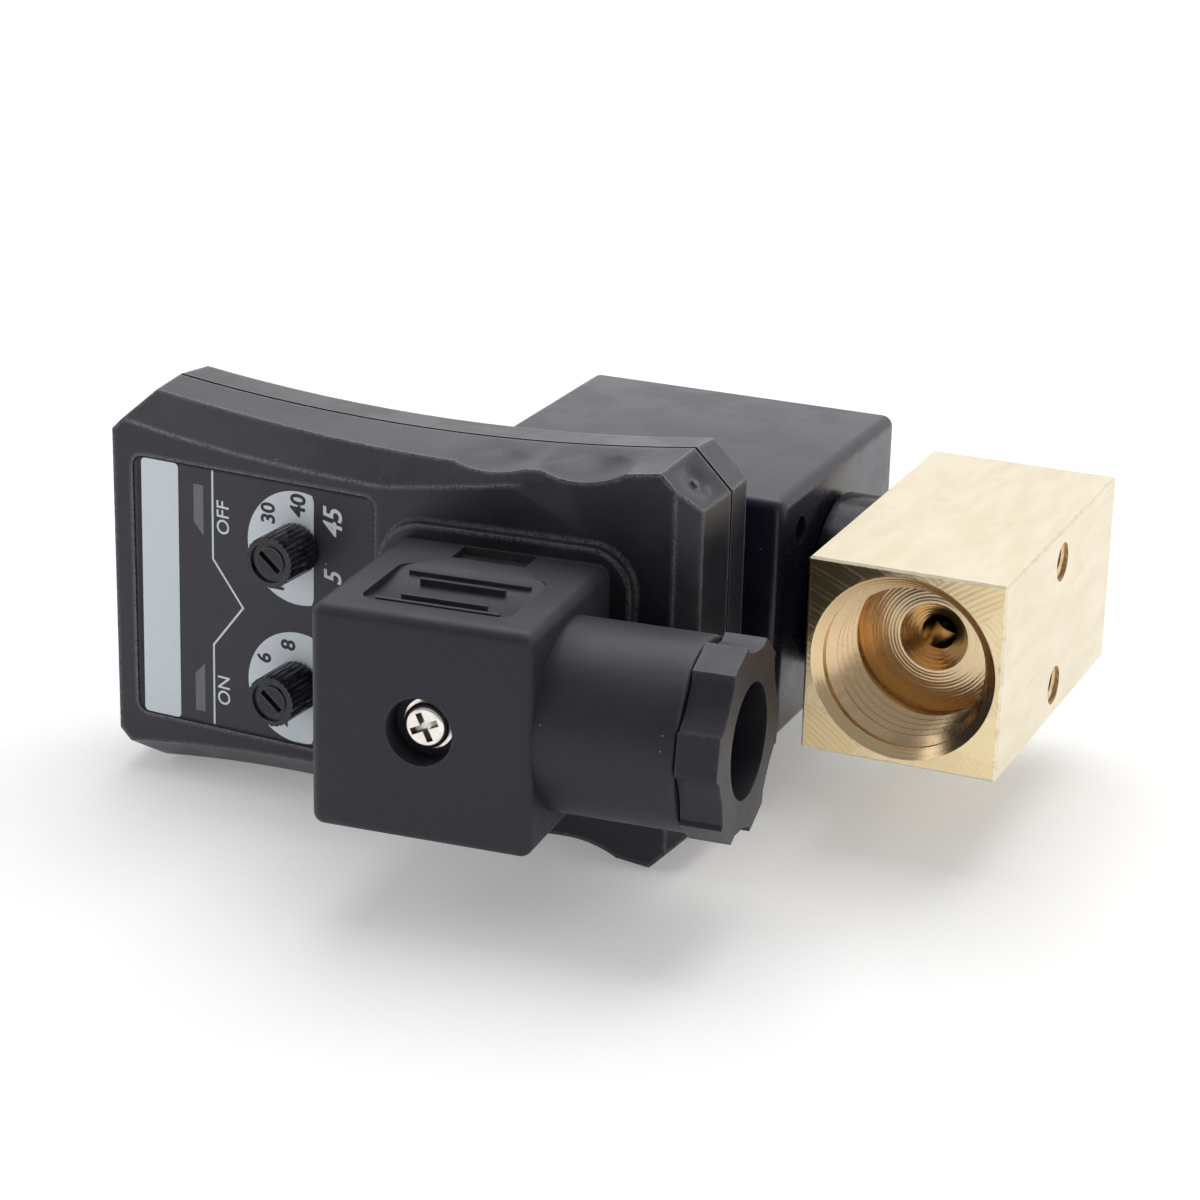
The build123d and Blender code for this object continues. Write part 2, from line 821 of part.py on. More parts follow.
def contact_box(x, z, width, height, clearance):
    """Outer shape of a spring contact in the rear socket."""
    across = contact_thickness - 2 * clearance
    along = contact_width - 2 * clearance
    size_x, size_z = (across, along) if width < height else (along, across)
    inner = rear_cover_y - wall
    return block(x - size_x / 2, x + size_x / 2, inner, inner + contact_depth,
                 z - size_z / 2, z + size_z / 2)


def make_socket_contacts():
    contacts = []
    for x, z, width, height in pin_places(socket_x):
        contact = contact_box(x, z, width, height, contact_clearance)
        contact -= pin_slot(x, z, width, height, contact_clearance, split_y, socket_back)
        contacts.append(contact)
    return contacts


def make_timer_screw():
    inner = rear_cover_y - wall
    screw = y_rod(inner, coil_front + pin_root, fixing_screw_r, x=socket_x)
    return screw + y_rod(inner - fixing_head, inner, fixing_head_r, x=socket_x)


def make_cover_screws():
    screws = []
    for x, z in cover_screw_places():
        seat = rear_cover_y - cover_screw_head
        screw = y_rod(seat, seat - cover_screw_length, cover_screw_r, x=x, z=z)
        top = rear_cover_y - cover_head_drop
        head = y_rod(seat, top, cover_screw_head_r, x=x, z=z)
        for angle in (0, 90):
            slot = Box(cover_slot_length, 2 * cover_slot_depth, cover_slot_width)
            head -= Pos(x, top, z) * Rot(0, angle, 0) * slot
        screws.append(screw + head)
    return screws


def make_coil_gasket():
    sheet = RectangleRounded(rear_socket, rear_socket, rear_socket_corner_r)
    frame = Plane(origin=(socket_x, socket_back, 0), x_dir=(1, 0, 0), z_dir=(0, 1, 0))
    gasket = frame.location * extrude(sheet, gasket_thickness)
    gasket -= y_rod(socket_back, coil_front, insert_r, x=socket_x)
    for x, z, width, height in pin_places(socket_x):
        gasket -= pin_slot(x, z, width, height, gasket_clearance, socket_back, coil_front)
    return gasket


# Timer electronics
def make_face_label():
    width = recess_right - recess_left - 2 * label_clearance
    sheet = RectangleRounded(width, 2 * (recess_half - label_clearance),
                             recess_corner_r - label_clearance)
    middle = (recess_left + recess_right) / 2
    label = label_plane.location * Pos(middle, 0, -recess_depth) * extrude(sheet, label_thickness)
    for z in (-knob_z, knob_z):
        label -= label_rod(knob_s, z, shaft_hole_r + window_clearance, -recess_depth - over, over)
    return label


def make_circuit_board():
    middle = (board_left + board_right) / 2
    board = label_box(middle, 0, board_right - board_left, 2 * board_half,
                      -board_depth - board_thickness, -board_depth)
    return board


def make_potentiometer(z):
    pot = label_box(knob_s, z, pot_size, pot_size, -board_depth, -board_depth + pot_height)
    floor = -board_depth + pot_floor
    return pot - label_rod(knob_s, z, shaft_r + shaft_clearance, floor, 0)


def knob_outline(radius):
    """Ribbed outline of a knob: one shallow groove between two ribs."""
    points = []
    for i in range(knob_ribs):
        for step, r in ((0, radius), (0.5, radius), (0.75, radius - knob_rib_depth)):
            angle = 2 * pi * (i + step) / knob_ribs
            points.append((r * cos(angle), r * sin(angle)))
    return make_face(Polyline(*points, close=True))


def make_knob(z):
    knob = extrude(knob_outline(knob_r), knob_length)
    top = knob_length
    knob -= Pos(0, 0, top - knob_dish / 2) * Cylinder(knob_r - knob_rim, knob_dish)
    knob += Pos(0, 0, top - knob_dish) * Cylinder(knob_r - 2 * knob_rim, knob_dish)
    slot = Box(knob_slot_length, knob_slot_width, 2 * knob_slot_depth)
    knob -= Pos(0, 0, top) * Rot(0, 0, knob_slot_angle) * slot
    shaft_length = board_depth - pot_floor - shaft_end_gap + knob_lift
    knob += Pos(0, 0, -shaft_length / 2) * Cylinder(shaft_r, shaft_length)
    return label_plane.location * Pos(knob_s, z, knob_lift) * knob


def make_led(z):
    height = board_depth - recess_depth - button_gap
    return label_box(led_s, z, led_width, led_length, -board_depth, -board_depth + height)


def make_test_switch():
    switch = label_box(button_s, 0, switch_size, switch_size,
                       -board_depth, -board_depth + switch_height)
    floor = -board_depth + switch_floor
    return switch - label_rod(button_s, 0, button_r + shaft_clearance, floor, 0)


def make_test_button():
    start = -board_depth + button_foot
    return label_rod(button_s, 0, button_r, start, -recess_depth - button_gap)


def make_timer_chip():
    width, height, depth = chip_size
    back = -board_depth - board_thickness
    return label_box(chip_s, 0, width, height, back - depth, back)


def make_film_capacitor():
    width, height, depth = film_capacitor_size
    back = -board_depth - board_thickness
    return label_box(film_capacitor_s, 0, width, height, back - depth, back)


def make_electrolytic():
    back = -board_depth - board_thickness
    can = Pos(electrolytic_s, 0, back - electrolytic_r + electrolytic_flat) * Rot(90, 0, 0)
    can = can * Cylinder(electrolytic_r, electrolytic_length)
    can -= Pos(electrolytic_s, 0, back + electrolytic_r) * Box(
        4 * electrolytic_r, 2 * electrolytic_length, 2 * electrolytic_r)
    return label_plane.location * can


# Plug side of the timer
def make_boss_insert():
    start = boss_face + boss_insert_drop
    end = boss_face + boss_insert_length
    insert = plug_rod(plug_centre, 0, insert_r, start, end)
    return insert - plug_rod(plug_centre, 0, fixing_screw_r, start, end)


def make_timer_pins():
    pins = []
    for u, z, width, height in pin_places(plug_centre):
        pins.append(plug_box(u, z, width, height, boss_face - pin_length,
                             boss_inside + pin_end))
    return pins


def plug_frame_of(face_depth0, face_depth1, width, height, corner):
    sheet = RectangleRounded(width, height, corner)
    place = Pos(plug_centre, 0, -face_depth1)
    return plug_plane.location * place * extrude(sheet, face_depth1 - face_depth0)


def make_plug_gasket():
    gasket = plug_frame_of(plug_depth, boss_face, plug_width, plug_height, plug_edge)
    inner_w = plug_width - 2 * plug_wall
    inner_h = plug_height - 2 * plug_wall
    gasket -= plug_box(plug_centre, 0, inner_w, inner_h, plug_depth - over, boss_face + over)
    return gasket


def make_plug_housing():
    housing = Pos(plug_centre, 0, -plug_depth / 2) * Box(plug_width, plug_height, plug_depth)
    front = housing.edges().sort_by(Axis.Z)[4:]
    housing = fillet(front, plug_edge)
    gland_end = plug_width + gland_reach
    axis = Pos(0, 0, -gland_axis_depth) * Rot(0, 90, 0)
    barrel = axis * Pos(0, 0, (plug_width - plug_edge + gland_end) / 2)
    barrel = barrel * Cylinder(gland_r, gland_reach + plug_edge)
    rim = barrel.edges().filter_by(GeomType.CIRCLE).sort_by(Axis.X)[-1]
    barrel = fillet([rim], gland_edge)
    housing = housing + barrel
    inner_w = plug_width - 2 * plug_wall
    inner_h = plug_height - 2 * plug_wall
    cavity_depth = plug_depth - plug_front_wall
    housing -= (Pos(plug_centre, 0, -plug_depth + (cavity_depth - over) / 2)
                * Box(inner_w, inner_h, cavity_depth + over))
    bore_start = plug_width + gland_floor
    bore = Cylinder(gland_bore_r, gland_end - bore_start + over)
    housing -= axis * Pos(0, 0, (bore_start + gland_end + over) / 2) * bore
    cable_hole = Cylinder(cable_hole_r, plug_wall + gland_floor + 2 * over)
    housing -= axis * Pos(0, 0, plug_width + (gland_floor - plug_wall) / 2) * cable_hole
    housing -= (Pos(plug_centre, 0, -plug_screw_hole_depth / 2)
                * Cylinder(plug_screw_hole_r, plug_screw_hole_depth))
    housing -= Pos(plug_centre, 0, -plug_front_wall / 2) * Cylinder(shank_hole_r, plug_front_wall)
    for side in (-1, 1):
        housing -= grip_pocket(side)
        housing += grip_rib_set(side)
        top = side * plug_height / 2
        housing -= (Pos(plug_centre, top, -plug_depth)
                    * Box(2 * notch_half, 2 * notch_depth, 2 * notch_length))
    return plug_plane.location * housing


def grip_pocket(side):
    """Shallow finger hollow with a curved floor in the plug's top or bottom."""
    middle = (grip_near + grip_far) / 2
    half = (grip_far - grip_near) / 2
    mask = RectangleRounded(2 * grip_half_length, 2 * half, grip_corner_r)
    mask = extrude(mask, 2 * grip_depth, both=True)
    mask = Pos(plug_centre, side * plug_height / 2, -middle) * Rot(90, 0, 0) * mask
    hollow_r = (half ** 2 + grip_depth ** 2) / (2 * grip_depth)
    centre_y = side * (plug_height / 2 + hollow_r - grip_depth)
    hollow = Pos(plug_centre, centre_y, -middle) * Rot(0, 90, 0) * Cylinder(hollow_r, plug_width)
    return mask & hollow


def grip_rib_set(side):
    """Ribs across the finger hollow, level with the plug's face."""
    ribs = Part()
    for depth, half_length in grip_ribs:
        height = grip_depth + grip_rib_sink
        centre_y = side * (plug_height / 2 - height / 2 - grip_rib_drop)
        ribs += Pos(plug_centre, centre_y, -depth) * Box(2 * half_length, height, grip_rib_width)
    return ribs


def make_plug_screw():
    seat = plug_screw_hole_depth - plug_washer_thickness
    screw = plug_rod(plug_centre, 0, fixing_screw_r, seat, boss_face + boss_insert_length)
    head = Pos(0, 0, plug_screw_head / 2) * Cylinder(plug_screw_head_r, plug_screw_head)
    top = head.edges().filter_by(GeomType.CIRCLE).sort_by(Axis.Z)[-1]
    head = fillet([top], plug_head_round)
    for angle in (cross_slot_angle, cross_slot_angle + 90):
        slot = Box(cross_slot_length, cross_slot_width, 2 * cross_slot_depth)
        head -= Pos(0, 0, plug_screw_head) * Rot(0, 0, angle) * slot
    head = plug_plane.location * Pos(plug_centre, 0, -seat) * head
    return screw + head


def make_plug_washer():
    seat = plug_screw_hole_depth
    washer = plug_rod(plug_centre, 0, plug_washer_r, seat - plug_washer_thickness, seat)
    return washer - plug_rod(plug_centre, 0, fixing_screw_r + washer_hole_clearance, 0, seat)


def block_size():
    width = plug_width - 2 * plug_wall - block_clearance
    height = plug_height - 2 * plug_wall - block_clearance
    return width, height


def make_terminal_block():
    width, height = block_size()
    near = plug_front_wall
    holder = plug_box(plug_centre, 0, width, height, near, near + block_depth)
    holder -= plug_rod(plug_centre, 0, shank_hole_r, 0, plug_depth)
    for u, z, w, h in pin_places(plug_centre):
        holder -= plug_contact_box(u, z, w, h, 0)
        holder -= plug_box(u, z, grown(w, pin_slot_clearance), grown(h, pin_slot_clearance),
                           near + clamp_screw_length, plug_depth)
        holder -= plug_rod(u, z, clamp_screw_r + clamp_screw_clearance, near,
                           near + clamp_screw_length)
    for z in (-wire_hole_pitch, 0, wire_hole_pitch):
        place = Pos(plug_centre + width / 2, z, -near - wire_hole_inset) * Rot(0, 90, 0)
        holder -= plug_plane.location * place * Cylinder(wire_hole_r, 2 * wire_hole_depth)
    return holder


def plug_contact_box(u, z, width, height, clearance):
    across = contact_thickness - 2 * clearance
    along = contact_width - 2 * clearance
    size_u, size_z = (across, along) if width < height else (along, across)
    start = plug_front_wall + clamp_screw_length
    end = plug_front_wall + block_depth
    return plug_box(u, z, size_u, size_z, start + clearance, end - clearance)


def make_plug_contacts():
    contacts = []
    for u, z, width, height in pin_places(plug_centre):
        contact = plug_contact_box(u, z, width, height, contact_clearance)
        slot_start = boss_face - pin_length - contact_end_gap
        contact -= plug_box(u, z, grown(width, contact_clearance),
                            grown(height, contact_clearance), slot_start, boss_face)
        contacts.append(contact)
    return contacts


def make_clamp_screws():
    screws = []
    near = plug_front_wall
    for u, z, width, height in pin_places(plug_centre):
        screws.append(plug_rod(u, z, clamp_screw_r, near + clamp_screw_drop,
                               near + clamp_screw_length))
    return screws


def make_gland_grommet():
    start = plug_width + gland_floor
    ring = gland_rod(gland_bore_r - nut_thread_clearance, start, start + grommet_length)
    return ring - gland_rod(grommet_hole_r, start, start + grommet_length)


def make_gland_washer():
    start = plug_width + gland_floor + grommet_length
    ring = gland_rod(gland_bore_r - nut_thread_clearance, start, start + gland_washer_thickness)
    return ring - gland_rod(gland_washer_hole_r, start, start + gland_washer_thickness)


def nut_outline():
    """Six grip lobes with one steep and one sloping flank each."""
    points = []
    for i in range(nut_lobes):
        base = 2 * pi * i / nut_lobes
        for degrees, rise in nut_lobe:
            angle = base + radians(degrees)
            points.append(((gland_r + rise) * cos(angle), (gland_r + rise) * sin(angle)))
    return make_face(Polyline(*points, close=True))


def make_gland_nut():
    start = plug_width + gland_floor + grommet_length + gland_washer_thickness
    face = plug_width + gland_reach + nut_head_gap
    nut = gland_rod(gland_bore_r - nut_thread_clearance, start, face)
    head = Rot(0, 0, nut_turn) * extrude(nut_outline(), nut_head_length)
    head = Pos(face, 0, -gland_axis_depth) * Rot(0, 90, 0) * head
    nut += plug_plane.location * head
    return nut - gland_rod(nut_hole_r, start, face + nut_head_length)


makers = {
    "valve_body": make_valve_body,
    "stem_collar": make_stem_collar,
    "stem_ring": make_stem_ring,
    "armature_tube": make_armature_tube,
    "fixed_core": make_fixed_core,
    "shading_ring": make_shading_ring,
    "plunger": make_plunger,
    "plunger_seal": make_plunger_seal,
    "plunger_spring": make_plunger_spring,
    "coil_nut": make_coil_nut,
    "coil_washer": make_coil_washer,
    "coil_seal_ring": make_coil_seal_ring,
    "coil_housing": make_coil_housing,
    "magnet_yoke": make_yoke,
    "coil_bobbin": make_bobbin,
    "copper_winding": make_winding,
    "coil_pins": make_coil_pins,
    "coil_insert": make_coil_insert,
    "coil_gasket": make_coil_gasket,
    "rear_cover": make_rear_cover,
    "socket_contacts": make_socket_contacts,
    "timer_screw": make_timer_screw,
    "cover_screws": make_cover_screws,
    "front_cover": make_front_cover,
    "face_label": make_face_label,
    "circuit_board": make_circuit_board,
    "off_time_pot": lambda: make_potentiometer(knob_z),
    "on_time_pot": lambda: make_potentiometer(-knob_z),
    "off_time_knob": lambda: make_knob(knob_z),
    "on_time_knob": lambda: make_knob(-knob_z),
    "off_led": lambda: make_led(led_z),
    "on_led": lambda: make_led(-led_z),
    "test_switch": make_test_switch,
    "test_button": make_test_button,
    "timer_chip": make_timer_chip,
    "film_capacitor": make_film_capacitor,
    "smoothing_capacitor": make_electrolytic,
    "boss_insert": make_boss_insert,
    "timer_pins": make_timer_pins,
    "plug_gasket": make_plug_gasket,
    "plug_housing": make_plug_housing,
    "terminal_block": make_terminal_block,
    "plug_contacts": make_plug_contacts,
    "clamp_screws": make_clamp_screws,
    "plug_screw": make_plug_screw,
    "plug_washer": make_plug_washer,
    "gland_grommet": make_gland_grommet,
    "gland_washer": make_gland_washer,
    "gland_nut": make_gland_nut,
}

for name, maker in makers.items():
    made = maker()
    pieces = made if isinstance(made, list) else [made]
    solids = [solid for piece in pieces for solid in piece.solids()]
    shape = solids[0] if len(solids) == 1 else Compound(children=solids)
    export_step(shape, f"parts/{name}.step")
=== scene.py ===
"""Automatic drain valve: brass body, moulded coil, timer housing and cable plug."""

import json
from math import cos, pi, radians, sin

import bmesh
import bpy
from mathutils import Matrix, Vector


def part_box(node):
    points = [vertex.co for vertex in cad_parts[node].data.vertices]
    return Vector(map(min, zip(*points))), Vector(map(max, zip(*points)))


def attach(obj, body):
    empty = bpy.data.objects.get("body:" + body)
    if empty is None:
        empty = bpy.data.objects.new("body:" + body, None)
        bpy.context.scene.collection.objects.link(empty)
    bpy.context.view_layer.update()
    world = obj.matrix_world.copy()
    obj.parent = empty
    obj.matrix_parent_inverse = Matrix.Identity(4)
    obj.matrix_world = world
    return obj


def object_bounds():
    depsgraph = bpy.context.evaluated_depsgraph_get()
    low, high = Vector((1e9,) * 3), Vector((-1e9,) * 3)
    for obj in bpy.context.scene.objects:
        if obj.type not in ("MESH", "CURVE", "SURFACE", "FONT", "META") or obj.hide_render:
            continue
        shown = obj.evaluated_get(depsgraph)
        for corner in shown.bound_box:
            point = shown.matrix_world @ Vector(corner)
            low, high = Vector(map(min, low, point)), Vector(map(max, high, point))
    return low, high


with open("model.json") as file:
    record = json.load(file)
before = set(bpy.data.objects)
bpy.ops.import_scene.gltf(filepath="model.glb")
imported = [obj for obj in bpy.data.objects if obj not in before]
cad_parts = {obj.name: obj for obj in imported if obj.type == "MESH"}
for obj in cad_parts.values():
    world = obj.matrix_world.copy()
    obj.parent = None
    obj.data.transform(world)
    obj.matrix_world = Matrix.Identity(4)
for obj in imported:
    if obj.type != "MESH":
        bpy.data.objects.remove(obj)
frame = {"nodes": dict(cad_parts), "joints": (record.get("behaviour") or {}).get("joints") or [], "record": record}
cad_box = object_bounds()

MM = 0.001
node = frame["nodes"]
joint = {entry["name"]: entry for entry in frame["joints"]}
mount = {entry["name"]: entry for entry in frame["record"]["mounts"]}
body_low, body_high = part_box("valve_body")

# Camera, in millimetres and degrees
camera_place = Vector((112.15, -356.18, 143.21))
camera_azimuth = 23.1
camera_elevation = 20.0
camera_roll = 1.4
camera_lens = 99.1
camera_sensor = 36.0

# Shading of the CAD pieces: points closer than this are one, in millimetres, and
# edges sharper than this many degrees stay crisp
weld_distance = 0.002
crease_angle = 30

# Ports and threads, in millimetres; crests and ends are shares of the pitch or turn
bored_r = 11.75
pipe_pitch = 1.814
pipe_thread_depth = 1.16
pipe_thread_start = 0.9
pipe_crest = 0.12
fixing_pitch = 0.8
fixing_thread_depth = 0.45
fixing_thread_length = 7.0
fixing_crest = 0.15
thread_root = 0.46
thread_run_out = 0.35
thread_sink = 0.02
thread_crease = 25

# Marks on the surfaces, in millimetres: the timer's parting line, painted as shade, the middles
# of the face mill's arcs, and how far from the bar's middle the ports are reddest and palest
parting_y = -4.67
parting_half = 0.27
mill_middles = ((34.0, 0.0, -30.0), (-30.0, 0.0, -38.0))
port_red_y = 24.5
port_pale_y = 12.0

# Printing on the label film, in millimetres from the middle between the knobs: right
# along the film, up, and out of it. Leans are slopes, weights are shares of the height
film_face = -0.15
ink = 0.025
print_lean = 0.009
print_shift = 0.25
film_left = -23.92
film_half = 17.1
# The gaps and the margin are dark strips of painted shade where the film meets its recess
gap_up = 17.03
gap_left = -22.8
gap_right = 9.3
gap_width = 0.2
margin_corner_r = 0.3
margin_overlap = 0.3
band_left = -23.25
band_right = -17.75
band_corner_r = 0.6
rule_right = -12.7
rule_tip = (-8.3, -0.4)
rule_upper = 5.4
rule_lower = -6.1
rule_width = 0.27
dial_r = 7.4
dial_right = -0.15
dial_cut = 2.0
dial_up = {"off_dial": 8.95, "on_dial": -9.6}
dial_hole_r = 2.15
capital_share = 1.38
word_height = 1.85
word_lean = 0.04
italic_lean = 0.2
thin_print = 0.008
plain_print = 0.022
bold_print = 0.034
window_left = -15.5
window_right = -14.05
off_window_top = 14.85
off_window_corners = (9.9, 8.2)
on_window_bottom = -15.55
on_window_corners = (-10.5, -8.9)

# Colours of the brass
drawn_brass = ((0.79, 0.69, 0.50, 1.0), (0.86, 0.765, 0.585, 1.0))
drawn_smudge = (0.52, 0.43, 0.27, 1.0)
milled_brass = ((0.88, 0.68, 0.38, 1.0), (0.97, 0.80, 0.50, 1.0))
milled_stain = (0.15, 0.115, 0.045, 1.0)
milled_line = (0.97, 0.86, 0.62, 1.0)
bored_brass = ((0.74, 0.55, 0.32, 1.0), (0.90, 0.69, 0.43, 1.0))
# The pale edge colour is rubbed brass with a painted highlight; the dark one is for nicks
burred_and_lit_brass = ((0.95, 0.86, 0.66, 1.0), (0.42, 0.33, 0.19, 1.0))
threaded_brass = ((0.66, 0.46, 0.26, 1.0), (0.84, 0.65, 0.41, 1.0))

# Colours of the plastics, the rubber and the board
plastic_sheen = (0.90, 0.91, 1.0, 1.0)
pale_dust = (0.55, 0.55, 0.56, 1.0)
dull_dust = (0.4, 0.4, 0.4, 1.0)
# Painted shade of the groove along the timer's parting line
parting_shade = (0.002, 0.002, 0.002, 1.0)
lacquer_light = (0.02, 0.16, 0.06, 1.0)
lacquer_dark = (0.02, 0.13, 0.05, 1.0)
lacquer_track = (0.06, 0.26, 0.10, 1.0)

# Studio: light levels, the floor's half width in metres, and for each lamp its place,
# what it points at and its size in metres, and its watts
world_fill = 0.42
world_front = 0.35
floor_glow = 0.26
floor_half = 3.0
floor_tones = ((0.90, 0.90, 0.90, 1), (0.93, 0.93, 0.93, 1))
lamps = {
    "top_light": ((-0.05, 0.35, 0.9), (-0.04, 0.0, 0.0), (0.9, 0.9), 5.5),
    "left_light": ((-0.9, -0.5, 0.5), (-0.04, 0.0, 0.0), (0.6, 0.6), 1.3),
    "right_light": ((0.9, 0.1, 0.4), (0.0, 0.0, 0.0), (0.6, 0.5), 0.5),
}


# Meshes

def new_object(name, mesh):
    made = bpy.data.objects.new(name, mesh)
    bpy.context.scene.collection.objects.link(made)
    return made


def mesh_object(name, points, faces, smooth=False):
    """A mesh from points in millimetres."""
    mesh = bpy.data.meshes.new(name)
    mesh.from_pydata([tuple(Vector(point) * MM) for point in points], [], faces)
    mesh.validate()
    build = bmesh.new()
    build.from_mesh(mesh)
    bmesh.ops.recalc_face_normals(build, faces=build.faces)
    build.to_mesh(mesh)
    build.free()
    mesh.polygons.foreach_set("use_smooth", [smooth] * len(mesh.polygons))
    return new_object(name, mesh)


def dress(piece, material, body):
    """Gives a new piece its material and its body."""
    piece.data.materials.clear()
    piece.data.materials.append(material)
    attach(piece, body)
    return piece


def soften(piece):
    """Rounds the shading of a curved CAD piece and keeps its edges crisp. The normals
    that come with it go, because they do not fit split edges."""
    piece.data.polygons.foreach_set("use_smooth", [True] * len(piece.data.polygons))
    if "custom_normal" in piece.data.attributes:
        piece.data.attributes.remove(piece.data.attributes["custom_normal"])
    weld = piece.modifiers.new("weld", "WELD")
    weld.merge_threshold = weld_distance * MM
    split = piece.modifiers.new("edges", "EDGE_SPLIT")
    split.split_angle = radians(crease_angle)


# Node groups. Noise scales are in cells per metre, so 1000 makes cells of a millimetre

FLOAT = "NodeSocketFloat"


def new_group(name, inputs, outputs):
    """A shader group. Inputs are pairs of name and usual value, outputs are names."""
    group = bpy.data.node_groups.new(name, "ShaderNodeTree")
    for label, value in inputs:
        socket = group.interface.new_socket(label, in_out="INPUT", socket_type=FLOAT)
        socket.default_value = value
    for label in outputs:
        group.interface.new_socket(label, in_out="OUTPUT", socket_type=FLOAT)
    start = group.nodes.new("NodeGroupInput")
    end = group.nodes.new("NodeGroupOutput")
    return group, start, end


class Wires:
    """Short names for placing and joining shader nodes in one tree."""

    def __init__(self, tree):
        self.tree = tree

    def add(self, kind, **settings):
        made = self.tree.nodes.new(kind)
        for key, value in settings.items():
            setattr(made, key, value)
        return made

    def feed(self, socket, source):
        """Joins a source to a socket, or sets the socket's value."""
        if isinstance(source, bpy.types.NodeSocket):
            self.tree.links.new(source, socket)
        else:
            socket.default_value = source

    def place(self):
        """Where the point is on the object as it lies at rest, in metres."""
        return self.add("ShaderNodeTexCoord").outputs["Object"]

    def math(self, operation, a, b=0.0, c=0.0):
        made = self.add("ShaderNodeMath", operation=operation)
        for socket, source in zip(made.inputs, (a, b, c)):
            self.feed(socket, source)
        return made.outputs[0]

    def vector_math(self, operation, a, b=None):
        made = self.add("ShaderNodeVectorMath", operation=operation)
        self.feed(made.inputs[0], a)
        if b is not None:
            self.feed(made.inputs[1], b)
        return made.outputs["Value" if operation in ("LENGTH", "DOT_PRODUCT") else "Vector"]

    def noise(self, vector, scale, detail=3.0, roughness=0.5):
        made = self.add("ShaderNodeTexNoise")
        self.feed(made.inputs["Vector"], vector)
        self.feed(made.inputs["Scale"], scale)
        self.feed(made.inputs["Detail"], detail)
        self.feed(made.inputs["Roughness"], roughness)
        return made.outputs["Fac"]

    def ramp(self, value, low, high, out_low=0.0, out_high=1.0):
        """A smooth step from out_low to out_high as the value goes from low to high."""
        made = self.add("ShaderNodeMapRange", interpolation_type="SMOOTHSTEP")
        self.feed(made.inputs["Value"], value)
        self.feed(made.inputs["From Min"], low)
        self.feed(made.inputs["From Max"], high)
        self.feed(made.inputs["To Min"], out_low)
        self.feed(made.inputs["To Max"], out_high)
        return made.outputs["Result"]

    def mix(self, share, a, b):
        """Colour a where the share is 0 and colour b where it is 1. The node's inputs 6
        and 7 and its output 2 are those for colours."""
        made = self.add("ShaderNodeMix", data_type="RGBA")
        self.feed(made.inputs["Factor"], share)
        self.feed(made.inputs[6], a)
        self.feed(made.inputs[7], b)
        return made.outputs[2]

    def group(self, group, **values):
        """Places a group. In the names of its inputs here, _ stands for a space."""
        made = self.add("ShaderNodeGroup")
        made.node_tree = group
        for key, value in values.items():
            self.feed(made.inputs[key.replace("_", " ")], value)
        return made


def moulded_grain_group():
    """Fine spark-eroded texture of a moulded part, with faint flow and dust."""
    group, start, end = new_group(
        "moulded_grain",
        [("Grain", 5000.0), ("Flow", 120.0), ("Dust", 0.5)],
        ["Height", "Cloud", "Specks"],
    )
    wires = Wires(group)
    place = wires.place()
    grain = wires.noise(place, start.outputs["Grain"], 2.0, 0.6)
    cloud = wires.noise(place, start.outputs["Flow"], 4.0, 0.6)
    cells = wires.add("ShaderNodeTexVoronoi", feature="F1")
    wires.feed(cells.inputs["Vector"], place)
    wires.feed(cells.inputs["Scale"], 420.0)
    pick = wires.add("ShaderNodeSeparateColor")
    wires.feed(pick.inputs[0], cells.outputs["Color"])
    size = wires.ramp(cells.outputs["Distance"], 0.02, 0.05, 1.0, 0.0)
    chosen = wires.math("GREATER_THAN", pick.outputs[0], 0.86)
    specks = wires.math("MULTIPLY", wires.math("MULTIPLY", size, chosen), start.outputs["Dust"])
    wires.feed(end.inputs["Height"], grain)
    wires.feed(end.inputs["Cloud"], cloud)
    wires.feed(end.inputs["Specks"], specks)
    return group


def worn_edge_and_highlight_group():
    """Mask of the edges, where handling has polished a surface or left scuffs.
    A painted highlight there stands for the light on rounded edges.
    """
    group, start, end = new_group(
        "worn_edge_and_highlight",
        [("Broken by", 900.0), ("Width", 0.5 * MM)],
        ["Mask"],
    )
    wires = Wires(group)
    rounded = wires.add("ShaderNodeBevel", samples=4)
    wires.feed(rounded.inputs["Radius"], start.outputs["Width"])
    flat = wires.add("ShaderNodeNewGeometry").outputs["Normal"]
    agree = wires.vector_math("DOT_PRODUCT", rounded.outputs["Normal"], flat)
    edge = wires.ramp(agree, 0.9995, 0.98)
    broken = wires.noise(wires.place(), start.outputs["Broken by"], 4.0, 0.7)
    wires.feed(end.inputs["Mask"], wires.math("MULTIPLY", edge, wires.ramp(broken, 0.3, 0.6)))
    return group


def hollow_shade_group():
    """Mask of narrow recesses, where painted shade darkens them."""
    group, start, end = new_group("hollow_shade", [("Reach", 1.0 * MM)], ["Mask"])
    wires = Wires(group)
    open_sky = wires.add("ShaderNodeAmbientOcclusion", samples=8, only_local=True)
    wires.feed(open_sky.inputs["Distance"], start.outputs["Reach"])
    wires.feed(end.inputs["Mask"], wires.ramp(open_sky.outputs["AO"], 0.85, 0.45))
    return group


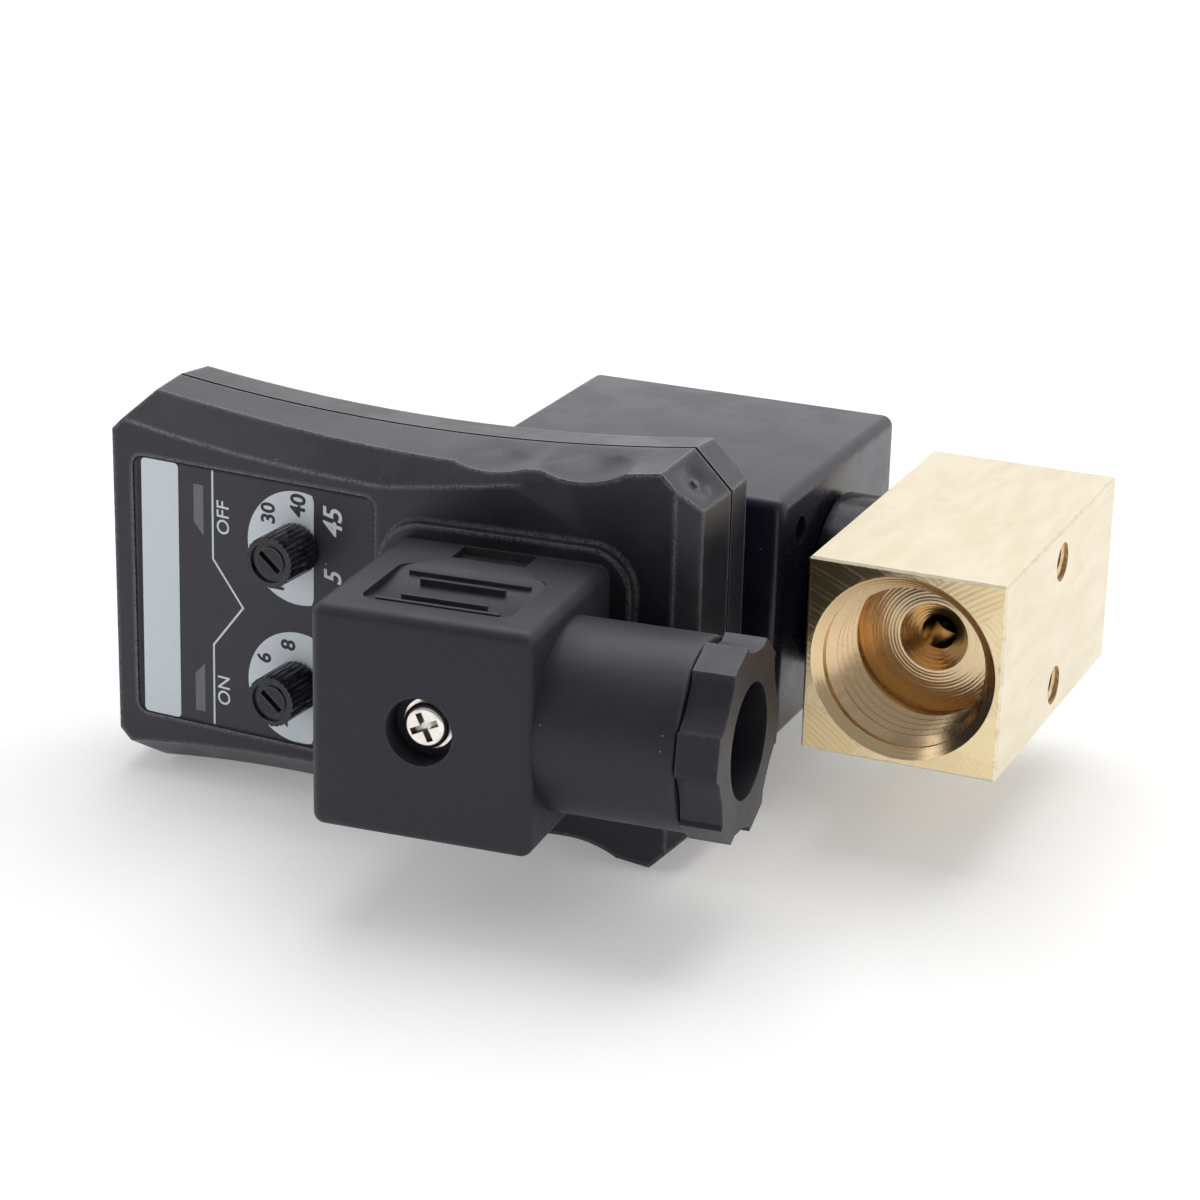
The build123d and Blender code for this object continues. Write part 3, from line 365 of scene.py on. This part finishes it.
def milled_arcs_group():
    """Crossed arcs that a face mill leaves, in patches that run one way or the other."""
    group, start, end = new_group(
        "milled_arcs",
        [("Lines", 9000.0), ("Patch", 150.0)],
        ["Height", "Tone"],
    )
    wires = Wires(group)
    place = wires.place()
    wobble = wires.noise(place, 60.0, 2.0)
    waves = []
    for middle in mill_middles:
        away = wires.vector_math("SUBTRACT", place, Vector(middle) * MM)
        reach = wires.vector_math("LENGTH", away)
        phase = wires.math("MULTIPLY_ADD", reach, start.outputs["Lines"], wobble)
        streak = wires.noise(place, 520.0, 3.0, 0.7)
        fine = wires.math("SINE", phase)
        coarse = wires.math("SINE", wires.math("MULTIPLY", phase, 0.31))
        both = wires.math("MULTIPLY_ADD", coarse, 0.6, fine)
        waves.append(wires.math("MULTIPLY", both, streak))
    cells = wires.add("ShaderNodeTexVoronoi", feature="F1")
    wires.feed(cells.inputs["Vector"], place)
    wires.feed(cells.inputs["Scale"], start.outputs["Patch"])
    pick = wires.add("ShaderNodeSeparateColor")
    wires.feed(pick.inputs[0], cells.outputs["Color"])
    choice = wires.math("GREATER_THAN", pick.outputs[0], 0.5)
    turned = wires.math("SUBTRACT", 1.0, choice)
    height = wires.math("ADD", wires.math("MULTIPLY", waves[0], choice),
                        wires.math("MULTIPLY", waves[1], turned))
    wires.feed(end.inputs["Height"], height)
    wires.feed(end.inputs["Tone"], pick.outputs[1])
    return group


def turned_rings_group():
    """Tool rings about the axis of the ports, with the distance from that axis."""
    group, start, end = new_group(
        "turned_rings",
        [("Lines", 9000.0)],
        ["Height", "Radius"],
    )
    wires = Wires(group)
    flat = wires.vector_math("MULTIPLY", wires.place(), (1.0, 0.0, 1.0))
    radius = wires.vector_math("LENGTH", flat)
    wobble = wires.noise(wires.vector_math("MULTIPLY", flat, (0.2, 0.2, 0.2)), 40.0, 1.0)
    phase = wires.math("MULTIPLY_ADD", radius, start.outputs["Lines"], wobble)
    fine = wires.math("SINE", phase)
    coarse = wires.math("SINE", wires.math("MULTIPLY", phase, 0.37))
    wires.feed(end.inputs["Height"], wires.math("ADD", fine, coarse))
    wires.feed(end.inputs["Radius"], radius)
    return group


def parting_line_group():
    """Mask of the line where the two halves of the timer housing meet, painted dark as the
    shade of the groove there.
    """
    group, start, end = new_group(
        "parting_line",
        [("Place", parting_y * MM), ("Half width", parting_half * MM)],
        ["Mask"],
    )
    wires = Wires(group)
    axes = wires.add("ShaderNodeSeparateXYZ")
    wires.feed(axes.inputs[0], wires.place())
    away = wires.math("ABSOLUTE", wires.math("SUBTRACT", axes.outputs["Y"],
                                             start.outputs["Place"]))
    wires.feed(end.inputs["Mask"], wires.math("LESS_THAN", away, start.outputs["Half width"]))
    return group


moulded_grain = moulded_grain_group()
worn_edge_and_highlight = worn_edge_and_highlight_group()
hollow_shade = hollow_shade_group()
milled_arcs = milled_arcs_group()
turned_rings = turned_rings_group()
parting_line = parting_line_group()


# Materials

def shaded(colour, share):
    """The colour with its light scaled by a share."""
    return tuple(share * part for part in colour[:3]) + (1.0,)


def new_material(name):
    material = bpy.data.materials.new(name)
    material.use_nodes = True
    wires = Wires(material.node_tree)
    shader = material.node_tree.nodes["Principled BSDF"]
    return material, wires, shader


def bump(wires, height, strength, distance):
    """A normal roughened by a height; the distance in metres is how high a 1 stands."""
    made = wires.add("ShaderNodeBump")
    wires.feed(made.inputs["Strength"], strength)
    wires.feed(made.inputs["Distance"], distance)
    wires.feed(made.inputs["Height"], height)
    return made.outputs["Normal"]


def plastic(name, colour, worn_and_lit, roughness, grain=5000.0, depth=0.02, dust=0.5, edge=0.5,
            width=0.5, broken=900.0, parting=False):
    """Moulded plastic: fine grain, cloudy sheen, dust, and pale edges with scuffs and a
    painted highlight. Depth and width are in millimetres, and grain and broken are the scales
    of their noise."""
    material, wires, shader = new_material(name)
    marks = wires.group(moulded_grain, Grain=grain, Dust=dust)
    edges = wires.group(worn_edge_and_highlight, Width=width * MM, Broken_by=broken)
    cloud = wires.ramp(marks.outputs["Cloud"], 0.3, 0.7)
    tint = wires.mix(cloud, shaded(colour, 0.72), colour)
    # Pale edges: scuffs, with a painted highlight where the real edges are rounded
    tint = wires.mix(wires.math("MULTIPLY", edges.outputs["Mask"], edge), tint, worn_and_lit)
    tint = wires.mix(marks.outputs["Specks"], tint, pale_dust)
    rough = wires.ramp(cloud, 0.0, 1.0, roughness - 0.04, roughness + 0.05)
    if parting:
        # Painted shade of the groove where the housing halves meet
        line = wires.group(parting_line).outputs["Mask"]
        tint = wires.mix(line, tint, parting_shade)
        rough = wires.math("MAXIMUM", rough, line)
    wires.feed(shader.inputs["Base Color"], tint)
    wires.feed(shader.inputs["Roughness"], rough)
    wires.feed(shader.inputs["Normal"], bump(wires, marks.outputs["Height"], 0.5, depth * MM))
    shader.inputs["Specular Tint"].default_value = plastic_sheen
    return material


def brass_face():
    """Brass bar: pale drawn sides, darker milled ends with stains, and bored ports."""
    material, wires, shader = new_material("brass_bar")
    arcs = wires.group(milled_arcs)
    rings = wires.group(turned_rings, Lines=15000.0)
    edges = wires.group(worn_edge_and_highlight, Width=0.35 * MM)
    place = wires.place()
    axes = wires.add("ShaderNodeSeparateXYZ")
    wires.feed(axes.inputs[0], place)
    across, along, up = axes.outputs
    facing = wires.add("ShaderNodeSeparateXYZ")
    wires.feed(facing.inputs[0], wires.add("ShaderNodeTexCoord").outputs["Normal"])
    bored = wires.math("LESS_THAN", rings.outputs["Radius"], bored_r * MM)
    cut_end = wires.math("GREATER_THAN", wires.math("ABSOLUTE", facing.outputs["Y"]), 0.8)
    milled = wires.math("MULTIPLY", cut_end, wires.math("SUBTRACT", 1.0, bored))

    # Drawn sides: pale, with smudges along the bar
    drag = wires.noise(wires.vector_math("MULTIPLY", place, (1.0, 0.25, 1.0)), 420.0, 4.0, 0.6)
    smudge = wires.ramp(wires.noise(place, 190.0, 4.0, 0.65), 0.60, 0.78)
    pale = wires.mix(wires.ramp(drag, 0.3, 0.7), *drawn_brass)
    pale = wires.mix(wires.math("MULTIPLY", smudge, 0.35), pale, drawn_smudge)

    # Milled ends: olive stains towards the upper corner by the stem
    corner = wires.ramp(wires.math("SUBTRACT", up, across), 0.002, 0.022)
    blotch = wires.noise(place, 130.0, 5.0, 0.7)
    stain = wires.ramp(wires.math("MULTIPLY_ADD", corner, 0.50, blotch), 0.66, 0.86)
    cut = wires.mix(arcs.outputs["Tone"], *milled_brass)
    cut = wires.mix(wires.math("MULTIPLY", stain, 0.85), cut, milled_stain)
    lines = wires.ramp(arcs.outputs["Height"], 0.2, 0.7)
    cut = wires.mix(wires.math("MULTIPLY", lines, 0.30), cut, milled_line)

    # Ports: clean, redder metal, paler towards the bar's middle
    middle = (body_low.y + body_high.y) / 2
    away = wires.math("ABSOLUTE", wires.math("SUBTRACT", along, middle))
    deep = wires.ramp(away, port_red_y * MM, port_pale_y * MM)
    bore = wires.mix(deep, *bored_brass)
    body = wires.mix(milled, wires.mix(bored, pale, bore), cut)

    # Edges: pale where they are rubbed, with a painted highlight, and dark in the nicks
    nicks = wires.ramp(wires.noise(place, 700.0, 4.0, 0.7), 0.50, 0.62)
    burr_and_highlight = wires.mix(nicks, *burred_and_lit_brass)
    scuffed_and_lit = wires.mix(wires.math("MULTIPLY", edges.outputs["Mask"], 0.7), body, burr_and_highlight)
    wires.feed(shader.inputs["Base Color"], scuffed_and_lit)
    shader.inputs["Metallic"].default_value = 1.0
    rough = wires.math("MULTIPLY_ADD", milled, 0.04, 0.30)
    rough = wires.math("MULTIPLY_ADD", bored, -0.10, rough)
    wires.feed(shader.inputs["Roughness"], wires.math("MULTIPLY_ADD", smudge, 0.08, rough))
    height = wires.math("ADD", wires.math("MULTIPLY", arcs.outputs["Height"], milled),
                        wires.math("MULTIPLY", rings.outputs["Height"],
                                   wires.math("MULTIPLY", bored, 0.3)))
    height = wires.math("MULTIPLY_ADD", drag, 0.5, height)
    wires.feed(shader.inputs["Normal"], bump(wires, height, 0.6, 0.02 * MM))
    return material


def thread_brass():
    """Brass of the threads' turns: redder, with uneven wear."""
    material, wires, shader = new_material("thread_brass")
    place = wires.place()
    wear = wires.noise(place, 900.0, 3.0, 0.6)
    wires.feed(shader.inputs["Base Color"], wires.mix(wear, *threaded_brass))
    shader.inputs["Metallic"].default_value = 1.0
    wires.feed(shader.inputs["Roughness"], wires.ramp(wear, 0.3, 0.7, 0.2, 0.3))
    wires.feed(shader.inputs["Normal"], bump(wires, wear, 0.4, 0.01 * MM))
    return material


def metal(name, colour, roughness, lines=2600.0, depth=0.006):
    """Plated or turned metal: fine streaks, slight tarnish and painted shade in its recesses."""
    material, wires, shader = new_material(name)
    place = wires.place()
    streak = wires.noise(wires.vector_math("MULTIPLY", place, (1.0, 0.2, 0.2)), lines, 3.0, 0.6)
    tarnish = wires.ramp(wires.noise(place, 260.0, 4.0, 0.6), 0.35, 0.75)
    # Painted shade in the recesses, from an occlusion mask
    recess_shade = wires.group(hollow_shade, Reach=1.2 * MM).outputs["Mask"]
    tint = wires.mix(tarnish, colour, shaded(colour, 0.72))
    wires.feed(shader.inputs["Base Color"], wires.mix(recess_shade, tint, shaded(colour, 0.22)))
    shader.inputs["Metallic"].default_value = 1.0
    wires.feed(shader.inputs["Roughness"], wires.ramp(streak, 0.3, 0.7, roughness - 0.06,
                                                     roughness + 0.08))
    wires.feed(shader.inputs["Normal"], bump(wires, streak, 0.4, depth * MM))
    return material


def print_ink(name, colour):
    """Screen-printed ink with a faint mottle; also the dark strips of painted shade on the film."""
    material, wires, shader = new_material(name)
    mottle = wires.noise(wires.place(), 2200.0, 4.0, 0.6)
    wires.feed(shader.inputs["Base Color"], wires.mix(mottle, shaded(colour, 0.9), colour))
    shader.inputs["Roughness"].default_value = 0.5
    wires.feed(shader.inputs["Normal"], bump(wires, mottle, 0.3, 0.004 * MM))
    return material


def soft_rubber(name, colour):
    """Dull rubber with a bloom on it."""
    material, wires, shader = new_material(name)
    marks = wires.group(moulded_grain, Grain=3200.0, Dust=0.8)
    bloom = wires.ramp(marks.outputs["Cloud"], 0.35, 0.75)
    tint = wires.mix(bloom, colour, shaded(colour, 1.8))
    wires.feed(shader.inputs["Base Color"], wires.mix(marks.outputs["Specks"], tint, dull_dust))
    shader.inputs["Roughness"].default_value = 0.75
    wires.feed(shader.inputs["Normal"], bump(wires, marks.outputs["Height"], 0.4, 0.015 * MM))
    return material


def board_lacquer():
    """Green solder lacquer over faint copper tracks."""
    material, wires, shader = new_material("board_lacquer")
    cells = wires.add("ShaderNodeTexBrick")
    wires.feed(cells.inputs["Vector"], wires.place())
    wires.feed(cells.inputs["Scale"], 260.0)
    wires.feed(cells.inputs["Color1"], lacquer_light)
    wires.feed(cells.inputs["Color2"], lacquer_dark)
    wires.feed(cells.inputs["Mortar"], lacquer_track)
    wires.feed(shader.inputs["Base Color"], cells.outputs["Color"])
    shader.inputs["Roughness"].default_value = 0.35
    return material


finishes = {
    "brass": brass_face(),
    "thread": thread_brass(),
    "timer": plastic("timer_plastic", (0.023, 0.023, 0.030, 1), (0.27, 0.27, 0.28, 1),
                     0.33, grain=6500.0, depth=0.03, edge=0.7, width=0.9,
                     broken=2600.0, parting=True),
    "coil": plastic("coil_resin", (0.014, 0.014, 0.026, 1), (0.07, 0.07, 0.08, 1),
                    0.28, grain=4200.0, depth=0.015, dust=0.8, edge=0.4),
    "plug": plastic("plug_plastic", (0.019, 0.019, 0.025, 1), (0.07, 0.07, 0.08, 1),
                    0.52, grain=5200.0, depth=0.012, edge=0.35),
    "nut": plastic("nut_plastic", (0.014, 0.014, 0.018, 1), (0.07, 0.07, 0.08, 1),
                   0.42, grain=5200.0, depth=0.02, edge=0.45),
    "knob": plastic("knob_plastic", (0.004, 0.004, 0.005, 1), (0.10, 0.10, 0.11, 1),
                    0.16, grain=7000.0, depth=0.006, dust=0.9, edge=0.5),
    "film": plastic("label_film", (0.045, 0.044, 0.053, 1), (0.08, 0.08, 0.085, 1),
                    0.50, grain=3600.0, depth=0.006, dust=0.9, edge=0.15),
    "ink": print_ink("white_ink", (0.86, 0.93, 1.0, 1)),
    "dark_ink": print_ink("dark_ink", (0.018, 0.018, 0.02, 1)),
    "window": print_ink("window_tint", (0.19, 0.19, 0.20, 1)),
    # Painted shade for the dark gaps round the label film
    "gap_shade": print_ink("film_gap_shade", (0.003, 0.003, 0.003, 1)),
    "steel": metal("plated_steel", (0.62, 0.62, 0.62, 1), 0.32),
    "nickel": metal("nickel_plate", (0.95, 0.90, 0.84, 1), 0.16),
    "collar": metal("turned_steel", (0.028, 0.027, 0.030, 1), 0.20, lines=3600.0, depth=0.03),
    "copper": metal("copper_wire", (0.72, 0.33, 0.20, 1), 0.3),
    "tinned": metal("tinned_brass", (0.70, 0.64, 0.50, 1), 0.3),
    "rubber": soft_rubber("seal_rubber", (0.018, 0.018, 0.018, 1)),
    "board": board_lacquer(),
    "nylon": plastic("block_nylon", (0.05, 0.05, 0.055, 1), (0.12, 0.12, 0.12, 1), 0.5),
    "red_lens": plastic("red_lens", (0.35, 0.03, 0.02, 1), (0.5, 0.1, 0.08, 1), 0.2),
    "green_lens": plastic("green_lens", (0.05, 0.3, 0.06, 1), (0.1, 0.5, 0.12, 1), 0.2),
}

node_finish = {
    "brass": ["valve_body"],
    "collar": ["stem_collar", "armature_tube", "fixed_core", "plunger"],
    "steel": ["coil_nut", "coil_washer", "magnet_yoke", "timer_screw", "cover_screws",
              "clamp_screws", "plunger_spring"],
    "nickel": ["plug_screw", "plug_washer"],
    "copper": ["copper_winding", "shading_ring"],
    "rubber": ["stem_ring", "plunger_seal", "coil_seal_ring", "coil_gasket", "plug_gasket",
               "gland_grommet"],
    "coil": ["coil_housing", "coil_bobbin"],
    "timer": ["rear_cover", "front_cover"],
    "plug": ["plug_housing", "gland_washer"],
    "nut": ["gland_nut"],
    "knob": ["off_time_knob", "on_time_knob"],
    "film": ["face_label"],
    "board": ["circuit_board"],
    "nylon": ["terminal_block", "off_time_pot", "on_time_pot", "test_switch", "test_button",
              "timer_chip", "film_capacitor", "smoothing_capacitor"],
    "tinned": ["coil_pins", "coil_insert", "socket_contacts", "boss_insert", "timer_pins",
               "plug_contacts"],
    "red_lens": ["off_led"],
    "green_lens": ["on_led"],
}

for finish, names in node_finish.items():
    for name in names:
        node[name].data.materials.clear()
        node[name].data.materials.append(finishes[finish])
        soften(node[name])


# Threads

def thread(name, start, direction, wall_r, pitch, depth, length, crest, steps=72):
    """The ridge of a thread in a hole. It stands on a wall of radius wall_r and rises by
    depth towards the axis. crest is the flat at its top, as a share of the pitch."""
    axis = Vector(direction).normalized()
    side = axis.orthogonal().normalized()
    other = axis.cross(side)
    half_root = pitch * thread_root
    half_crest = pitch * crest / 2
    turns = length / pitch - 1
    count = int(turns * steps)
    run_out = steps * thread_run_out
    foot_r = wall_r + thread_sink
    points = []
    faces = []
    for i in range(count + 1):
        angle = 2 * pi * i / steps
        along = pitch * 0.5 + pitch * i / steps
        ease = min(1.0, i / run_out, (count - i) / run_out)
        top_r = wall_r - depth * ease
        out = side * cos(angle) + other * sin(angle)
        for shift, radius in ((-half_root, foot_r), (-half_crest, top_r),
                              (half_crest, top_r), (half_root, foot_r)):
            points.append(Vector(start) + axis * (along + shift) + out * radius)
    for i in range(count):
        for j in range(3):
            a = 4 * i + j
            faces.append((a, a + 4, a + 5, a + 1))
        faces.append((4 * i, 4 * i + 3, 4 * i + 7, 4 * i + 4))
    faces.append((0, 1, 2, 3))
    faces.append((4 * count, 4 * count + 3, 4 * count + 2, 4 * count + 1))
    made = mesh_object(name, points, faces, smooth=True)
    split = made.modifiers.new("edges", "EDGE_SPLIT")
    split.split_angle = radians(thread_crease)
    return made


for name in ("inlet_port", "outlet_port"):
    port = mount[name]
    inward = -Vector(port["axis"])
    mouth = Vector((0.0, (body_low if inward.y > 0 else body_high).y / MM, 0.0))
    ridge = thread(name + "_thread", mouth + inward * pipe_thread_start, inward,
                   port["dims"]["r_mm"], pipe_pitch, pipe_thread_depth,
                   port["dims"]["length_mm"], pipe_crest)
    dress(ridge, finishes["thread"], "valve")

holes = mount["fixing_holes"]
for side in (-1, 1):
    centre = Vector(holes["pos_m"]) / MM
    centre.z += side * holes["dims"]["spacing_y_mm"] / 2
    ridge = thread(f"fixing_thread_{'upper' if side > 0 else 'lower'}", centre,
                   -Vector(holes["axis"]), holes["dims"]["hole_r_mm"], fixing_pitch,
                   fixing_thread_depth, fixing_thread_length, fixing_crest, steps=36)
    dress(ridge, finishes["thread"], "valve")


# Label printing

film_out = Vector(joint["off_time_turn"]["axis"]).normalized()
film_up = Vector((0.0, 0.0, 1.0))
film_along = film_up.cross(film_out).normalized()
upper_knob = Vector(joint["off_time_turn"]["pos_m"]) / MM
lower_knob = Vector(joint["on_time_turn"]["pos_m"]) / MM
film_middle = (upper_knob + lower_knob) / 2


def film_point(right, up, out=0.0):
    """A place on the label film. The printing sits a little askew on it."""
    along = right + print_shift + print_lean * up
    return film_middle + film_along * along + film_up * up + film_out * (film_face + out)


def printed(name, outline, finish, lift=0.0):
    """A thin patch on the film, from its outline: print, or a dark strip of painted shade."""
    count = len(outline)
    points = [film_point(x, y, lift) for x, y in outline]
    points += [film_point(x, y, lift + ink) for x, y in outline]
    faces = [tuple(range(count)), tuple(range(2 * count - 1, count - 1, -1))]
    for i in range(count):
        j = (i + 1) % count
        faces.append((i, j, count + j, count + i))
    return dress(mesh_object(name, points, faces), finishes[finish], "coil_and_timer")


def stroke(path, width):
    """Outline of a line of even width along a path, with mitred turns."""
    left = []
    right = []
    for i, point in enumerate(path):
        here = Vector(point)
        before = (here - Vector(path[i - 1])).normalized() if i else None
        after = (Vector(path[i + 1]) - here).normalized() if i + 1 < len(path) else None
        lead = before or after
        follow = after or before
        bisector = (lead + follow).normalized()
        across = Vector((-bisector.y, bisector.x))
        reach = width / 2 / max(0.3, across.dot(Vector((-lead.y, lead.x))))
        left.append(here + across * reach)
        right.append(here - across * reach)
    return [tuple(point) for point in left + right[::-1]]


def rounded_rectangle(left, right, half, radius, steps=6):
    """Outline of a patch from -half to half in height, with rounded corners."""
    outline = []
    corners = ((right, -half, -90), (right, half, 0), (left, half, 90), (left, -half, 180))
    for x, y, begin in corners:
        centre_x = x - radius if x == right else x + radius
        centre_y = y - radius if y > 0 else y + radius
        for i in range(steps + 1):
            angle = radians(begin + 90 * i / steps)
            outline.append((centre_x + radius * cos(angle), centre_y + radius * sin(angle)))
    return outline


def dial_plate(name):
    """White scale round a knob: a disc cut off by a chord, open for the knob's shaft."""
    steps = 96
    chord = dial_cut - dial_right
    outer = []
    inner = []
    for i in range(steps):
        angle = 2 * pi * i / steps
        reach = dial_r
        if cos(angle) * dial_r > chord:
            reach = chord / cos(angle)
        outer.append((dial_right + reach * cos(angle), reach * sin(angle)))
        inner.append((dial_hole_r * cos(angle), dial_hole_r * sin(angle)))
    points = []
    for lift in (0.0, ink):
        points += [film_point(x, y + dial_up[name], lift) for x, y in outer + inner]
    faces = []
    for i in range(steps):
        j = (i + 1) % steps
        faces.append((i, j, steps + j, steps + i))
        faces.append((2 * steps + i, 3 * steps + i, 3 * steps + j, 2 * steps + j))
        faces.append((i, 2 * steps + i, 2 * steps + j, j))
        faces.append((steps + i, steps + j, 3 * steps + j, 3 * steps + i))
    return dress(mesh_object(name, points, faces), finishes["ink"], "coil_and_timer")


def lettering(name, words, right, up, height, finish, weight, lean, turn=90.0, lift=0.0):
    """Printed words or numbers, reading upwards. The height is that of a capital."""
    curve = bpy.data.curves.new(name, "FONT")
    curve.body = words
    curve.size = height * MM * capital_share
    curve.align_x = "CENTER"
    curve.align_y = "CENTER"
    curve.extrude = ink * MM / 2
    curve.offset = weight * MM * height
    curve.shear = lean
    curve.resolution_u = 6
    text = new_object(name, curve)
    bpy.context.view_layer.update()
    mesh = bpy.data.meshes.new_from_object(text)
    bpy.data.objects.remove(text)
    made = new_object(name, mesh)
    middle = sum((Vector(corner) for corner in made.bound_box), Vector()) / 8
    made.data.transform(Matrix.Translation(-middle))
    axes = Matrix((film_along, film_up, film_out)).transposed().to_4x4()
    place = Matrix.Translation(film_point(right, up, lift + ink / 2) * MM)
    made.data.transform(place @ axes @ Matrix.Rotation(radians(turn), 4, "Z"))
    return dress(made, finishes[finish], "coil_and_timer")


# Painted shade in the gaps round the film, then the pale band, the setting line and the lamps' windows
printed("label_margin_shade", rounded_rectangle(film_left, band_left + margin_overlap, film_half,
                                          margin_corner_r), "gap_shade")
for name, up in (("upper_gap", gap_up), ("lower_gap", -gap_up)):
    printed(name, stroke([(gap_left, up), (gap_right, up)], gap_width), "gap_shade")
printed("label_band", rounded_rectangle(band_left, band_right, film_half, band_corner_r), "ink",
        lift=ink)
rule_path = [(rule_right, film_half), (rule_right, rule_upper), rule_tip,
             (rule_right, rule_lower), (rule_right, -film_half)]
printed("label_rule", stroke(rule_path, rule_width), "ink")
printed("off_window", [(window_left, off_window_top), (window_left, off_window_corners[0]),
                       (window_right, off_window_corners[1]), (window_right, off_window_top)],
        "window")
printed("on_window", [(window_left, on_window_corners[0]), (window_left, on_window_bottom),
                      (window_right, on_window_bottom), (window_right, on_window_corners[1])],
        "window")
for name in dial_up:
    dial_plate(name)

# Words: text, right and up
label_words = {"off_word": ("OFF", -11.2, 11.1), "on_word": ("ON", -11.25, -12.1)}
for name, (words, right, up) in label_words.items():
    lettering(name, words, right, up, word_height, "ink", thin_print, word_lean)

# Numbers: right, up, height and turn, first on the dials and then beside them
dial_numbers = {
    "off_dial": [
        ("10", -3.3, 4.2, 2.0, 90),
        ("20", -5.7, 7.6, 2.0, 90),
        ("30", -4.6, 12.9, 2.0, 90),
        ("40", -0.3, 14.55, 2.15, 86),
    ],
    "on_dial": [
        ("2", -2.8, -14.5, 2.0, 90),
        ("4", -5.7, -11.2, 2.0, 90),
        ("6", -5.25, -6.4, 2.0, 90),
        ("8", -1.7, -4.05, 2.05, 88),
    ],
}
end_numbers = {
    "off_ends": [("45", 4.7, 13.3, 2.7, 90), ("5", 4.75, 6.15, 2.5, 90)],
    "on_ends": [("10", 4.7, -5.3, 2.7, 90), ("0.5", 4.75, -12.5, 2.5, 90)],
}
for rows, finish, weight, lean in ((dial_numbers, "dark_ink", bold_print, 0.0),
                                   (end_numbers, "ink", plain_print, italic_lean)):
    for row, numbers in rows.items():
        for words, right, up, height, turn in numbers:
            lettering(f"{row}_{words}", words, right, up, height, finish, weight, lean, turn,
                      lift=ink)


# Studio

def soft_light(name, place, target, size, watts):
    """A white rectangular lamp that the camera does not see."""
    lamp = bpy.data.lights.new(name, "AREA")
    lamp.shape = "RECTANGLE"
    lamp.size, lamp.size_y = size
    lamp.energy = watts
    made = new_object(name, lamp)
    made.location = place
    made.rotation_mode = "QUATERNION"
    made.rotation_quaternion = (Vector(target) - Vector(place)).to_track_quat("-Z", "Y")
    made.visible_camera = False
    return made


def make_floor():
    """Pale floor, whiter where it is seen or mirrored than as a source of light."""
    half = floor_half
    low = cad_box[0].z
    mesh = bpy.data.meshes.new("floor")
    mesh.from_pydata([(-half, -half, low), (half, -half, low), (half, half, low),
                      (-half, half, low)], [], [(0, 1, 2, 3)])
    floor = new_object("floor", mesh)
    material, wires, shader = new_material("pale_floor")
    mottle = wires.noise(wires.place(), 8.0, 2.0)
    wires.feed(shader.inputs["Base Color"], wires.mix(mottle, *floor_tones))
    shader.inputs["Roughness"].default_value = 0.9
    shader.inputs["Specular IOR Level"].default_value = 0.1
    path = wires.add("ShaderNodeLightPath")
    seen = wires.math("MAXIMUM", path.outputs["Is Camera Ray"], path.outputs["Is Glossy Ray"])
    seen = wires.math("MAXIMUM", seen, path.outputs["Is Transmission Ray"])
    shader.inputs["Emission Color"].default_value = (1.0, 1.0, 1.0, 1.0)
    wires.feed(shader.inputs["Emission Strength"], wires.math("MULTIPLY", seen, floor_glow))
    floor.data.materials.append(material)


def make_world():
    """White studio: full white where it is seen, dimmer as a fill, and mirrored in full
    behind the object but less in front of it."""
    world = bpy.data.worlds.new("studio")
    bpy.context.scene.world = world
    world.use_nodes = True
    world.cycles.sampling_method = "NONE"
    wires = Wires(world.node_tree)
    background = world.node_tree.nodes["Background"]
    path = wires.add("ShaderNodeLightPath")
    seen = wires.math("MAXIMUM", path.outputs["Is Camera Ray"],
                      path.outputs["Is Transmission Ray"])
    heading = wires.add("ShaderNodeSeparateXYZ")
    wires.feed(heading.inputs[0], wires.add("ShaderNodeTexCoord").outputs["Generated"])
    mirrored = wires.ramp(heading.outputs["Y"], -0.7, 0.3, world_front, 1.0)
    strength = wires.math("MULTIPLY_ADD", path.outputs["Is Glossy Ray"],
                          wires.math("SUBTRACT", mirrored, world_fill), world_fill)
    white = wires.math("MAXIMUM", seen, strength)
    wires.feed(background.inputs["Color"], (1.0, 1.0, 1.0, 1.0))
    wires.feed(background.inputs["Strength"], white)


def make_camera():
    """The camera at the photograph's angle."""
    camera = bpy.data.cameras.new("camera")
    camera.lens = camera_lens
    camera.sensor_width = camera_sensor
    camera.clip_start = 0.01
    camera.clip_end = 20.0
    made = new_object("camera", camera)
    made.location = camera_place * MM
    turn = radians(camera_azimuth)
    tilt = radians(camera_elevation)
    view = Vector((-sin(turn) * cos(tilt), cos(turn) * cos(tilt), -sin(tilt)))
    made.rotation_mode = "QUATERNION"
    roll = Matrix.Rotation(radians(camera_roll), 4, "Z").to_quaternion()
    made.rotation_quaternion = view.to_track_quat("-Z", "Y") @ roll
    bpy.context.scene.camera = made


make_floor()
make_world()
make_camera()
for name, settings in lamps.items():
    soft_light(name, *settings)

bpy.context.scene.view_settings.view_transform = "Standard"
